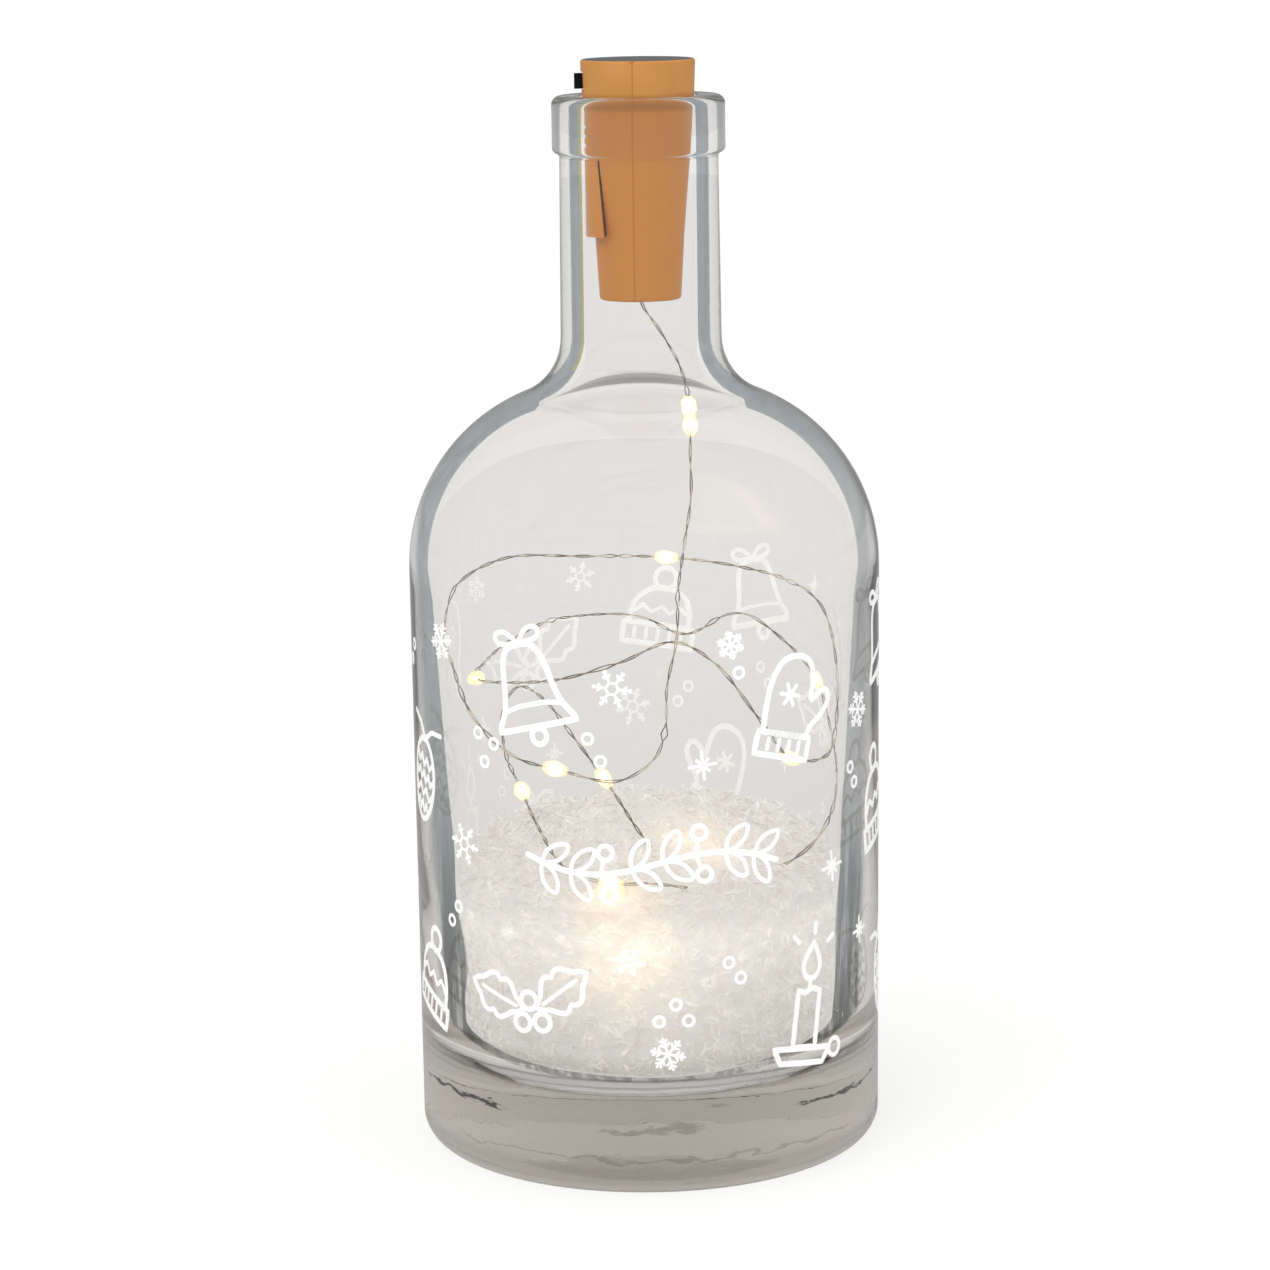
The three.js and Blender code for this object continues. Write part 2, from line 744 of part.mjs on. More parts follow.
function knob() {
  const outline = new THREE.Shape();
  const [halfY, halfZ] = [knobWidth / 2 - knobBevel, knobHeight / 2 - knobBevel];
  outline.moveTo(-halfY, -halfZ);
  outline.lineTo(halfY, -halfZ);
  outline.lineTo(halfY, halfZ);
  outline.lineTo(-halfY, halfZ);
  outline.closePath();
  const innerX = housingFaceX - fit;
  const outerX = -headRadius - knobProud;
  const head = new THREE.ExtrudeGeometry(outline, {
    depth: innerX - outerX - 2 * knobBevel,
    bevelThickness: knobBevel,
    bevelSize: knobBevel,
    bevelSegments: 2,
  });
  head.rotateX(Math.PI / 2).rotateZ(Math.PI / 2);
  head.computeBoundingBox();
  const middle = head.boundingBox.getCenter(new THREE.Vector3());
  head.translate((innerX + outerX) / 2 - middle.x, -middle.y, switchZ - middle.z);
  const footHalf = knobWidth / 2 - fit;
  const footHalfZ = grooveHeight / 2 - fit;
  const foot = block(
    innerX - knobRoot, housingFaceX + grooveDepth - fit, -footHalf, footHalf,
    switchZ - footHalfZ, switchZ + footHalfZ,
  );
  return solid(head).add(solid(foot));
}

add(stopperGroup, 'switch_knob', geometryOf(knob()), 'black', [0, -knobTravel / 2, 0]);

// Inner wire and the seal where the string leaves the plug

const innerWire = tube(innerWirePath, innerWireRadius, innerWireSteps, wireSides);
add(stopperGroup, 'inner_wire', innerWire, 'wire');

const seal = solid(drum(sealRadius, stopperFoot, sealTop, smallFacets)).subtract(wideLead);
add(stopperGroup, 'wire_seal', geometryOf(largestBody(seal)), 'glue');

export default bottleLight;
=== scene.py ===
import json
import math

import bmesh
import bpy
import numpy as np
from mathutils import Matrix, Vector, noise

# A bottle light: clear glass bottle, loose snow in its foot, a cork-coloured battery stopper and
# a string of ten small lights. Sizes are in millimetres here and are scaled to metres in the meshes.
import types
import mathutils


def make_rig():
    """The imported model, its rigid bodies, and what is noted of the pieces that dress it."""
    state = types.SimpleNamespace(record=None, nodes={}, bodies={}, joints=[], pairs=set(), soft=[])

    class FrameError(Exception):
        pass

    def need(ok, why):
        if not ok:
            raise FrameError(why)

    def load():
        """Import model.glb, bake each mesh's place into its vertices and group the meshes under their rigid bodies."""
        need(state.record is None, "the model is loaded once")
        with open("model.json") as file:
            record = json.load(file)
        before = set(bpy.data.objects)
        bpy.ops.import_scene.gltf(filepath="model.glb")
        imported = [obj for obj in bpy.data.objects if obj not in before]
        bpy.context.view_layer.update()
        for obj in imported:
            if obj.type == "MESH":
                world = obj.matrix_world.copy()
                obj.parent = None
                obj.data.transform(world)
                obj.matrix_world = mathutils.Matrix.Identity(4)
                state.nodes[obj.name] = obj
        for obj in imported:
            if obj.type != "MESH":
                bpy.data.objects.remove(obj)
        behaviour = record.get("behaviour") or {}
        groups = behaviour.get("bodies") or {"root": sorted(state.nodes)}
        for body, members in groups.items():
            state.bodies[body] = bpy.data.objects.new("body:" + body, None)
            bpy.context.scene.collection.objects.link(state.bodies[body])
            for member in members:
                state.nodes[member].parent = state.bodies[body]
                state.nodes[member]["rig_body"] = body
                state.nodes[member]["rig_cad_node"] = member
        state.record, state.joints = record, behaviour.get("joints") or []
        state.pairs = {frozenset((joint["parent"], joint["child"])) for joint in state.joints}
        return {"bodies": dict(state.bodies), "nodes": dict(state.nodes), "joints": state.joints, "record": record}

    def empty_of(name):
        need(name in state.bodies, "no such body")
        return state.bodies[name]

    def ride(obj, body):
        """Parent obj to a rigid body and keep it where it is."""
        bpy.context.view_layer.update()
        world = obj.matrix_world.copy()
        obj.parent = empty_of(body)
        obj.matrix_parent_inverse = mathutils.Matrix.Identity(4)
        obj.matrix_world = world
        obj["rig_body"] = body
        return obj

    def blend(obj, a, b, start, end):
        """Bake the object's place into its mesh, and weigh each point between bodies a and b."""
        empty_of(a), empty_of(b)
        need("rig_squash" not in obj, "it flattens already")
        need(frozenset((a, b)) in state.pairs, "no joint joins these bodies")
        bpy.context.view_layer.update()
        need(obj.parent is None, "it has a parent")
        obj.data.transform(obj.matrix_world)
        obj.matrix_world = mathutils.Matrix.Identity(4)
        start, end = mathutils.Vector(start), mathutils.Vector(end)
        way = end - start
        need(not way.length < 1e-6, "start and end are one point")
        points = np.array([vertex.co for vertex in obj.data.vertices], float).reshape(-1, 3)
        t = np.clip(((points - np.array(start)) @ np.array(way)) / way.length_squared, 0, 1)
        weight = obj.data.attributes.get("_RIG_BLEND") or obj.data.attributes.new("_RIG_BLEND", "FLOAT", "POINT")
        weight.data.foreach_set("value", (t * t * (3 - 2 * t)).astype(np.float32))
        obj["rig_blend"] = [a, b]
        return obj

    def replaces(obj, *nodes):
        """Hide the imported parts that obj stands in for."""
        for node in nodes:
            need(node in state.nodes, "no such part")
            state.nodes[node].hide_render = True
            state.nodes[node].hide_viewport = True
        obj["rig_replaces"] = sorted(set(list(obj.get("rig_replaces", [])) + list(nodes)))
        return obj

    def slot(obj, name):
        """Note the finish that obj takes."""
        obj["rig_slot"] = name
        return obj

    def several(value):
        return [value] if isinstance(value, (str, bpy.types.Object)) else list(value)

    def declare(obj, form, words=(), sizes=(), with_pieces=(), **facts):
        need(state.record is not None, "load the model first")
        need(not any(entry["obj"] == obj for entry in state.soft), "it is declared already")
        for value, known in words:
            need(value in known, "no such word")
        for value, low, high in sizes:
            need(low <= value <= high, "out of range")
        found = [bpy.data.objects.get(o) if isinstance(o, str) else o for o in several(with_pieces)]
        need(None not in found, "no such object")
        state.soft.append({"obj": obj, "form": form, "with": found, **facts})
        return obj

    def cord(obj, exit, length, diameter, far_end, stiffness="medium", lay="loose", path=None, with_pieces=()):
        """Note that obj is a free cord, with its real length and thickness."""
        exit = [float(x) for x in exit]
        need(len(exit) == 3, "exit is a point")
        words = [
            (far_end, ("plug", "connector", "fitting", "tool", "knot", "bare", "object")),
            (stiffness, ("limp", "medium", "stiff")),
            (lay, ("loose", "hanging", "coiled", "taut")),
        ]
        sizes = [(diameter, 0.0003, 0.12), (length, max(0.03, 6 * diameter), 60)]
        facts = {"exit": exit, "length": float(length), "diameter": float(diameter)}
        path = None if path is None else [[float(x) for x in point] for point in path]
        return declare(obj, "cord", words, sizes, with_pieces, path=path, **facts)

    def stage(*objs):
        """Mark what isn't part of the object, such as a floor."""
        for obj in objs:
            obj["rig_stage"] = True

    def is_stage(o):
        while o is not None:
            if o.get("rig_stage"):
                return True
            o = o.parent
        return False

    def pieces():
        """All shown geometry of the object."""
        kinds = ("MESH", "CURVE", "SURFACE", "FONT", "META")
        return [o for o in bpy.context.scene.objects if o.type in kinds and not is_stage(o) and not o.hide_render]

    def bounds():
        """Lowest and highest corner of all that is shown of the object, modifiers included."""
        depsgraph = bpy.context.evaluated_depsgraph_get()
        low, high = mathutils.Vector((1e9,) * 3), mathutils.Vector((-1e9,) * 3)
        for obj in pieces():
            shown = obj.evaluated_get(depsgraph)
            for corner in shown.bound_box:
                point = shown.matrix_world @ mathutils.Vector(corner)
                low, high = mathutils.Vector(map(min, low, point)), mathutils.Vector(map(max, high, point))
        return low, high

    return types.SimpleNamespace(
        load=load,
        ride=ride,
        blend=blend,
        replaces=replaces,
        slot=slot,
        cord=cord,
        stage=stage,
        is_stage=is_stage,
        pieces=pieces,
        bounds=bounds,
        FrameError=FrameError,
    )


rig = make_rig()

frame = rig.load()
cad_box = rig.bounds()
NODES = frame["nodes"]
MM = 0.001

# Camera: its place in metres, its turns in degrees
CAMERA_PLACE = (-0.00185, -0.7054, 0.2314)
CAMERA_LENS = 110.73
CAMERA_SENSOR = 36
CAMERA_TILT = 78.993
CAMERA_ROLL = -0.78

# Bottle, outside
BOTTLE_HEIGHT = 192.8
SHOULDER_START = 107.75
BODY_RADIUS = 43.0
FOOT_RADIUS = 42.6
HEEL_ROUND = 5.1
PUNT_RADIUS = 30.0
PUNT_HEIGHT = 2.2
SHOULDER_ROUND = 33.9
NECK_ROUND = 11.1
NECK_FOOT_RADIUS = 14.6
NECK_TOP_RADIUS = 14.3
LIP_RADIUS = 15.6
LIP_HEIGHT = 10.4
LIP_LOWER_ROUND = 1.2
LIP_UPPER_ROUND = 1.6
MOUTH_ROUND = 0.8
BOTTLE_FACETS = 224

# Bottle, inside
WALL = 3.8
FOOT_WALL = 8.1
FLOOR_THICKNESS = 14.8
FLOOR_CROWN = 0.8
BOWL_ROUND = 12.0
BORE_ROUND = 15.0
BORE_RADIUS = 10.32
BOWL_EDGE = FOOT_RADIUS - FOOT_WALL
BOWL_TOP = FLOOR_THICKNESS + BOWL_ROUND

# Stopper
HEAD_RADIUS = 10.3
SEAT_RADIUS = 10.07
PLUG_COVER_RADIUS = 8.05
PLUG_FOOT_RADIUS = 7.4
STOPPER_ROUND = 0.5
SHELL_EDGE = 0.13
COVER_EDGE = 0.1
KNOB_EDGE = 0.16
STOPPER_TOP = 199.2
STOPPER_FOOT = 156.4
SEAM_X = -1.0
SEAM_GAP = 0.01
STOPPER_FACETS = 160
COVER_TOP = 190.6
COVER_FOOT = 168.0
COVER_LENGTH = COVER_TOP - COVER_FOOT
COVER_RADIUS = 9.7
COVER_THICKNESS = 1.3
COVER_FOOT_HALF = 6.4
COVER_TOP_HALF = 4.6
COVER_UNDERCUT = 0.6
COVER_EDGE_X = -8.0
COVER_RAIL_FOOT_X = -5.8
COVER_RAIL_TOP_X = -7.4
FIT = 0.3
BAY_X = -2.0
BAY_RADIUS = 6.15
BAY_FLOOR = 168.2
BAY_TOP = 190.5
CELL_WAY_HALF = 5.9
CELL_WAY_REACH = 5.8
CELL_WAY_TOP = 173.9
POCKET_FLOOR = 191.8
POCKET_TOP = 197.4
POCKET_HALF = 4.6
HOUSING_FACE_X = -7.9
BOARD_END_X = 7.2
SWITCH_Z = 195.45
KNOB_WIDTH = 2.6
KNOB_HEIGHT = 2.7
KNOB_PROUD = 1.1
KNOB_TRAVEL = 2.0
GROOVE_DEPTH = 1.2
GROOVE_HEIGHT = 1.9
TAB_X = 2.4
TAB_SLOT_HALF = (0.5, 1.3)
WIRING_TOP = 166.4
WIRING_FOOT = 162.8
SEAL_TOP = 158.7
WIRING_RADIUS = 2.6
EXIT_RADIUS = 1.5
SEAL_RADIUS = 2.4
SEAM_NOTCH = (0.55, 0.4, 0.45)

# String of lights
STRING_DIAMETER = 0.9
STRAND_RADIUS = 0.12
STRAND_OFFSET = 0.18
STRAND_SIDES = 6
TWIST_LENGTH = 9.0
STRING_STEP = 0.36
LEAD_LENGTH = 56.0
SLACK_LENGTH = 43.6
BEAD_RADIUS = 1.4
BEAD_LENGTH = 5.0
CHIP_HALF = (0.4, 0.22, 0.75)
CHIP_EDGE = 0.16

# Snow
SNOW_HEIGHT = 55.2
SNOW_TILT = 0.035
MOUND_HEIGHT = 7.6
MOUND_WIDTH = 17.0
RIPPLE_HEIGHT = 0.7
RIPPLE_LENGTH = 19.0
SNOW_RIM_DROP = 1.5


def neck_level(share):
    """A level on the string's way in: 0 at the plug's foot, 1 at the foot of the bottle's shoulder."""
    return STOPPER_FOOT + (SHOULDER_START - STOPPER_FOOT) * share


# The string's route, point by point, and which points carry a light
STRING_POINTS = [
    (0, 0, WIRING_FOOT + 1), (0, 0, SEAL_TOP + FIT), (0.2, 0, neck_level(0.02)), (3, 0.5, neck_level(0.11)),
    (6, 1, neck_level(0.214)), (7.8, 1, neck_level(0.33)), (8.6, 1, neck_level(0.47)),
    (8.5, 0, neck_level(0.594)), (8.5, -3, neck_level(0.738)), (7.1, -5, neck_level(0.923)),
    (5.9, -7, 103.5), (5.6, -8, 94.5), (3.7, -9, 85.5), (3.4, -10, 78.5), (1.5, -12, 73.5),
    (-5, -15, 70), (-16.2, -19, 73.5), (-23, -20, 76.2), (-30, -16, 82.5), (-34.5, -9, 90.5),
    (-37, -3, 94.5), (-37.2, 3, 98.5), (-34.5, 9, 103), (-26, 15, 106.3), (-12, 22, 105.3),
    (4.1, 26, 104.2), (17.2, 22, 103), (28.2, 13, 101), (34, 4, 96.5), (35.3, -4, 89.5),
    (34.5, -9, 80.5), (31.8, -14, 74.5), (24.7, -22, 75.8), (19.1, -28, 84.5), (11.5, -32, 95.5),
    (4.6, -33.5, 99.5), (-4.4, -33.5, 96), (-15, -30.5, 92.5), (-24.7, -25, 91), (-29.5, -17, 90),
    (-29.5, -4, 89.5), (-25.6, 12, 90), (-17.2, 24, 91.2), (-2.8, 32, 90.4), (7.8, 34, 85.8),
    (18.2, 31, 90.4), (28.4, 23, 85.8), (33.8, 13, 81.2), (35.4, 3, 75.5), (35.6, -5, 67.5),
    (31.5, -12, 60.5), (25.2, -16, 55.2), (16.8, -12, 51), (8.6, -8, 51.2), (2.5, -11, 54.5),
    (-1.4, -14, 60), (-5.4, -12, 66), (-7.9, -9, 69), (-13.2, -2, 74.5), (-19.7, 8, 80),
    (-24.7, 14, 80.6), (-27.7, 15, 76.6), (-27, 6, 71), (-23.1, -4, 65.5), (-19.1, -15, 61),
    (-13.9, -26, 57), (-6.4, -31, 55.6), (0.2, -32, 55.8), (6.5, -27, 53.5),
]
BEAD_POINTS = [6, 16, 25, 32, 39, 47, 53, 57, 63, 66]


def added(name, data):
    """A new object in the scene."""
    piece = bpy.data.objects.new(name, data)
    bpy.context.scene.collection.objects.link(piece)
    return piece


# Camera

def make_camera():
    data = bpy.data.cameras.new("camera")
    data.lens = CAMERA_LENS
    data.sensor_width = CAMERA_SENSOR
    camera = added("camera", data)
    turn = Matrix.Rotation(math.radians(CAMERA_TILT), 4, "X")
    roll = Matrix.Rotation(math.radians(CAMERA_ROLL), 4, "Z")
    camera.matrix_world = Matrix.Translation(CAMERA_PLACE) @ turn @ roll
    bpy.context.scene.camera = camera


make_camera()


# Meshes

SHARP_ANGLE = math.radians(32)
POLE = 1e-6  # a smaller radius than this is a single point


def new_piece(name, points, faces, finish=None, smooth=True):
    """A mesh object from points in millimetres."""
    mesh = bpy.data.meshes.new(name)
    mesh.from_pydata([tuple(np.array(p, float) * MM) for p in points], [], faces)
    mesh.polygons.foreach_set("use_smooth", [smooth] * len(mesh.polygons))
    mesh.update()
    if finish is not None:
        mesh.materials.append(finish)
    return added(name, mesh)


def face_outwards(piece):
    shape = bmesh.new()
    shape.from_mesh(piece.data)
    bmesh.ops.remove_doubles(shape, verts=shape.verts, dist=1e-7)
    bmesh.ops.recalc_face_normals(shape, faces=shape.faces)
    shape.to_mesh(piece.data)
    shape.free()
    return piece


def arc(r, z, radius, start, end, steps):
    turns = np.radians(np.linspace(start, end, steps + 1))
    return [(r + radius * math.cos(t), z + radius * math.sin(t)) for t in turns]


def line(start, end, steps):
    start, end = np.array(start), np.array(end)
    return [tuple(start + (end - start) * i / steps) for i in range(steps + 1)]


def turned(name, profile, facets, finish=None, ring=False, wander=None):
    """A profile of (radius, height) turned about Z. ring joins its last point to its first."""
    points, faces, starts = [], [], []
    for index, (r, z) in enumerate(profile):
        starts.append(len(points))
        if r < POLE:
            points.append((0, 0, z))
            continue
        for i in range(facets):
            angle = 2 * math.pi * i / facets
            reach = r + (wander(angle, z, index) if wander else 0)
            points.append((reach * math.cos(angle), reach * math.sin(angle), z))
    pairs = list(zip(range(len(profile) - 1), range(1, len(profile))))
    if ring:
        pairs.append((len(profile) - 1, 0))
    for a, b in pairs:
        for i in range(facets):
            j = (i + 1) % facets
            corners = [starts[row] + (0 if profile[row][0] < POLE else k)
                       for row, k in ((a, i), (a, j), (b, j), (b, i))]
            corners = list(dict.fromkeys(corners))
            if len(corners) > 2:
                faces.append(corners)
    return face_outwards(new_piece(name, points, faces, finish))


def block(name, x0, x1, y0, y1, z0, z1, finish=None):
    points = [(x, y, z) for z in (z0, z1) for y in (y0, y1) for x in (x0, x1)]
    faces = [(0, 2, 3, 1), (4, 5, 7, 6), (0, 1, 5, 4), (2, 6, 7, 3), (0, 4, 6, 2), (1, 3, 7, 5)]
    return face_outwards(new_piece(name, points, faces, finish, smooth=False))


def drum(name, radius, foot, top, facets, x=0.0):
    piece = turned(name, [(0, foot), (radius, foot), (radius, top), (0, top)], facets)
    piece.data.transform(Matrix.Translation((x * MM, 0, 0)))
    return piece


def settle(piece):
    """Turns a piece's modifier into plain mesh."""
    graph = bpy.context.evaluated_depsgraph_get()
    mesh = bpy.data.meshes.new_from_object(piece.evaluated_get(graph), depsgraph=graph)
    piece.modifiers.clear()
    piece.data = mesh
    return piece


def changed(piece, kind, **settings):
    """The piece after one modifier of a kind."""
    modifier = piece.modifiers.new(kind, kind)
    for key, value in settings.items():
        setattr(modifier, key, value)
    return settle(piece)


def cut(piece, cutters, operation="DIFFERENCE"):
    for cutter in cutters:
        changed(piece, "BOOLEAN", operation=operation, solver="EXACT", object=cutter)
        bpy.data.objects.remove(cutter)
    return piece


def soften(piece, width, segments=2):
    """Rounds every sharp edge of a piece and shades it smooth."""
    changed(piece, "BEVEL", width=width * MM, segments=segments, limit_method="ANGLE",
            angle_limit=SHARP_ANGLE)
    piece.data.polygons.foreach_set("use_smooth", [True] * len(piece.data.polygons))
    return changed(piece, "WEIGHTED_NORMAL")


# Node trees

def operator(operation, swapped=False):
    def apply(value, other):
        return value.graph.maths(operation, *((other, value) if swapped else (value, other)))
    return apply


class Value:
    """A socket that can stand in a sum."""

    def __init__(self, graph, socket):
        self.graph = graph
        self.socket = socket

    __add__ = __radd__ = operator("ADD")
    __sub__ = operator("SUBTRACT")
    __rsub__ = operator("SUBTRACT", swapped=True)
    __mul__ = __rmul__ = operator("MULTIPLY")
    __gt__ = operator("GREATER_THAN")
    __lt__ = operator("LESS_THAN")
    either = operator("MAXIMUM")


class Graph:
    """A node tree as it is built."""

    def node(self, kind, settings=None, values=None, output=0):
        """A new node with its settings and its sockets' values or links, as the Value of one output."""
        node = self.tree.nodes.new(kind)
        for key, value in (settings or {}).items():
            setattr(node, key, value)
        for key, value in (values or {}).items():
            socket = node.inputs[key]
            if isinstance(value, Value):
                self.tree.links.new(value.socket, socket)
            elif isinstance(value, tuple) and len(value) == 3 and len(socket.default_value) == 4:
                socket.default_value = (*value, 1)
            else:
                socket.default_value = value
        return Value(self, node.outputs[output]) if len(node.outputs) else None

    def vector(self, operation, first, second=None, output=0):
        values = {0: first} if second is None else {0: first, 1: second}
        return self.node("ShaderNodeVectorMath", {"operation": operation}, values, output)


# Materials

BLACKEST, WHITEST = (0, 0, 0), (1, 1, 1)


def grey(tone):
    return (tone,) * 3


class Finish(Graph):
    """A material, or the world, and its node tree."""

    def __init__(self, name, holders=bpy.data.materials):
        self.material = holders.new(name)
        self.material.use_nodes = True
        self.tree = self.material.node_tree
        self.tree.nodes.clear()

    def maths(self, operation, first, second=None, clamp=False):
        values = {0: first} if second is None else {0: first, 1: second}
        return self.node("ShaderNodeMath", {"operation": operation, "use_clamp": clamp}, values)

    def place(self):
        return self.node("ShaderNodeTexCoord", output="Object")

    def axis(self, name):
        return self.node("ShaderNodeSeparateXYZ", values={0: self.place()}, output=name)

    def ray(self, kind):
        return self.node("ShaderNodeLightPath", output=kind)

    def facing(self):
        return self.node("ShaderNodeLayerWeight", values={"Blend": 0.5}, output="Facing")

    def grain(self, scale, detail=3.0, place=None, rough=0.5):
        values = {"Vector": place or self.place(), "Scale": scale, "Detail": detail, "Roughness": rough}
        return self.node("ShaderNodeTexNoise", values=values)

    def ramp(self, factor, *stops):
        made = self.node("ShaderNodeValToRGB", values={"Fac": factor})
        elements = made.socket.node.color_ramp.elements
        while len(elements) < len(stops):
            elements.new(0.5)
        for element, (place, tone) in zip(elements, stops):
            element.position = place
            element.color = (*tone, 1)
        return made

    def blend(self, factor, first, second, kind="MIX"):
        settings = {"data_type": "RGBA", "blend_type": kind}
        return self.node("ShaderNodeMix", settings, {0: factor, 6: first, 7: second}, output=2)

    def bump(self, height, strength, distance):
        values = {"Height": height, "Strength": strength, "Distance": distance * MM}
        return self.node("ShaderNodeBump", values=values)

    def shader(self, **sockets):
        names = {key.replace("_", " "): value for key, value in sockets.items()}
        return self.node("ShaderNodeBsdfPrincipled", values=names)

    def mix(self, factor, first, second):
        return self.node("ShaderNodeMixShader", values={0: factor, 1: first, 2: second})

    def show(self, look, end="ShaderNodeOutputMaterial", **more):
        self.node(end, values={"Surface": look, **more})
        return self.material

    def surface(self, **sockets):
        """The material with one Principled surface as its whole look."""
        return self.show(self.shader(**sockets))


GLASS_IOR = 1.5
ALL_THROWN_BACK = 0.97  # a Fresnel share that only total reflection reaches

# Zones of the glass, in metres as the materials' coordinates are
HEEL_TOP = 0.0056
HEEL_REACH = 0.0372
FOOT_TOP = 0.0165
YELLOW_FOOT = 0.143

# Painted shade lines on the foot, dark lines standing in for the shade its thick glass shows: level, half width, left
# end, right end, strength, wander (mm)
PAINTED_SHADE_LINES = [
    (14.8, 0.5, -42.5, -25, 0.9, 5), (14.4, 0.45, 25, 43, 0.85, 5), (13, 0.6, -11, 11, 0.32, 5),
    (16.6, 0.4, 8, 15, 0.3, 5), (7.4, 0.3, -36, 38, 0.3, 5), (19.6, 0.4, -43, 43, 0.2, 1.5),
    (20.7, 0.3, -43, 43, 0.42, 0.6), (22, 0.35, -43, 43, 0.5, 0.6), (21.3, 1.6, -43, 43, 0.22, 1),
    (4.2, 2.4, -43, 43, 0.15, 2),
]


def painted_shade_line(f, height, side, branch, level, half, left, right, strength, wander):
    """1 on a ragged painted shade line, 0 off it."""
    off = f.maths("ABSOLUTE", height * 1000.0 + branch * wander - (level + wander / 2))
    ends = f.maths("MINIMUM", (side * 1000.0 - left) * 0.25, (side * -1000.0 + right) * 0.25)
    taper = f.maths("MINIMUM", ends, 1.0)
    return f.maths("MULTIPLY", taper - off * (1.0 / half), 2.0, clamp=True) * strength


def painted_reflection_tone(f, height, side, facing):
    """Painted reflection: the colour of the mirror that stands in for what the wall throws back. Dark streaks
    beside the snow, blue-grey over it, paler on the right, with a thin yellow line in the neck on the left."""
    streak = f.grain(420, 3, f.vector("MULTIPLY", f.place(), (1, 1, 0.06)))
    upper = f.ramp(streak, (0.3, (0.26, 0.305, 0.335)), (0.7, (0.38, 0.425, 0.455)))
    lower = f.ramp(streak, (0.4, (0.06, 0.065, 0.06)), (0.49, (0.19, 0.2, 0.19)), (0.58, (0.6, 0.6, 0.58)))
    tone = f.blend(f.ramp(height * 10.0, (0.2, WHITEST), (0.7, BLACKEST)), upper, lower)
    airy = f.ramp(height * 7.0, (0.38, BLACKEST), (0.5, WHITEST), (0.78, WHITEST), (0.98, grey(0.25)))
    tone = f.blend(airy * (side * 7.0 + 0.5), tone, (0.58, 0.60, 0.61))
    # Painted reflection: a thin yellow line in the left of the neck.
    yellow = (facing < 0.285) * (side < 0.0) * (height > YELLOW_FOOT) * 0.75
    return f.blend(yellow, tone, (0.52, 0.48, 0.15))


def glass_finish():
    """Flint glass, with painted reflections and painted shade. Where light is thrown back inside its wall
    at a steep turn, a mirror of painted colour stands in for the darker room at the sides. Where the
    heel, the foot and the far side of the neck's foot throw light back, a painted glow stands in for
    the pale table. Near-black painted shade lines cross the foot. Lamps and the snow's light pass."""
    f = Finish("flint glass")
    place, height, side, facing, depth = f.place(), f.axis("Z"), f.axis("X"), f.facing(), f.ray("Ray Depth")
    reach = f.vector("LENGTH", f.vector("MULTIPLY", place, (1, 1, 0)), output="Value")
    flow = f.vector("MULTIPLY", place, (1, 1, 3.5))
    total = f.node("ShaderNodeFresnel", values={"IOR": GLASS_IOR}) > ALL_THROWN_BACK

    ripple = f.grain(70, 3, flow) * f.ramp(height * 10.0, (0.12, WHITEST), (0.2, BLACKEST))
    clear = f.shader(Base_Color=(0.972, 0.969, 0.966), Roughness=0.0, IOR=GLASS_IOR,
                     Transmission_Weight=1.0, Normal=f.bump(ripple, 0.3, 0.5))

    # Painted reflection: a mirror of painted colour where light is thrown back inside the wall.
    thrown = f.shader(Base_Color=painted_reflection_tone(f, height, side, facing), Metallic=1.0, Roughness=0.0)
    limit = f.ramp(reach * 20.0, (0.2, grey(0.41)), (0.6, grey(0.345)), (0.72, grey(0.325)),
                   (0.79, grey(0.29)))
    steep = f.maths("ADD", (limit - facing) * 45.0, 0.5, clamp=True)
    edge = f.maths("MULTIPLY", facing - 0.57, 20.0, clamp=True)
    above_foot = f.ramp(height * 10.0, (0.15, BLACKEST), (0.24, WHITEST))
    body = f.mix(total * (depth < 1.5) * steep.either(edge) * above_foot * 0.9, clear, thrown)

    # Painted reflection: a glow in the pale table's colours, shown where the heel, the foot and the neck's foot throw
    # light back.
    level = (height * 1000.0 + f.grain(160, 3, place) * 3.0) * 0.005
    table = f.ramp(level, (0.005, (0.80, 0.785, 0.755)), (0.035, (0.96, 0.945, 0.91)),
                   (0.3, (0.31, 0.305, 0.295)))
    pale = f.shader(Base_Color=BLACKEST, Roughness=1.0, Specular_IOR_Level=0.0, Emission_Color=table,
                    Emission_Strength=1.0)
    heel = (height < HEEL_TOP) * (reach > HEEL_REACH) * (depth > 0.5)
    collar = f.ramp(height * 7.0, (0.84, BLACKEST), (0.88, grey(0.75)), (1.0, grey(0.75))) * (depth > 2.5)
    foot = (height < FOOT_TOP) * (depth > 2.5) * 0.55
    body = f.mix(total * heel.either(collar).either(foot), body, pale)

    # Painted shade: near-black ragged lines across the foot, seen from the first hit only.
    branch = f.grain(150, 5, flow, 0.6)
    lines = painted_shade_line(f, height, side, branch, *PAINTED_SHADE_LINES[0])
    for row in PAINTED_SHADE_LINES[1:]:
        lines = lines.either(painted_shade_line(f, height, side, branch, *row))
    dark = f.shader(Base_Color=(0.03, 0.03, 0.028), Roughness=0.2)
    body = f.mix(lines * (depth < 0.5), body, dark)

    passing = f.node("ShaderNodeBsdfTransparent", values={"Color": (0.97, 0.975, 0.975)})
    body = f.mix(f.ray("Is Shadow Ray").either(f.ray("Is Diffuse Ray")), body, passing)
    tint = f.node("ShaderNodeVolumeAbsorption", values={"Color": (0.42, 0.385, 0.305), "Density": 17.0})
    return f.show(body, Volume=tint)


# Painted pools of warm light on the snow, for the glow of the lights in and near it: place, reach and strength
PAINTED_WARM_POOLS = [((-3.5, -35, 43), 9.0, 0.26), (STRING_POINTS[66], 6.0, 0.35), (STRING_POINTS[53], 9.0, 0.3)]


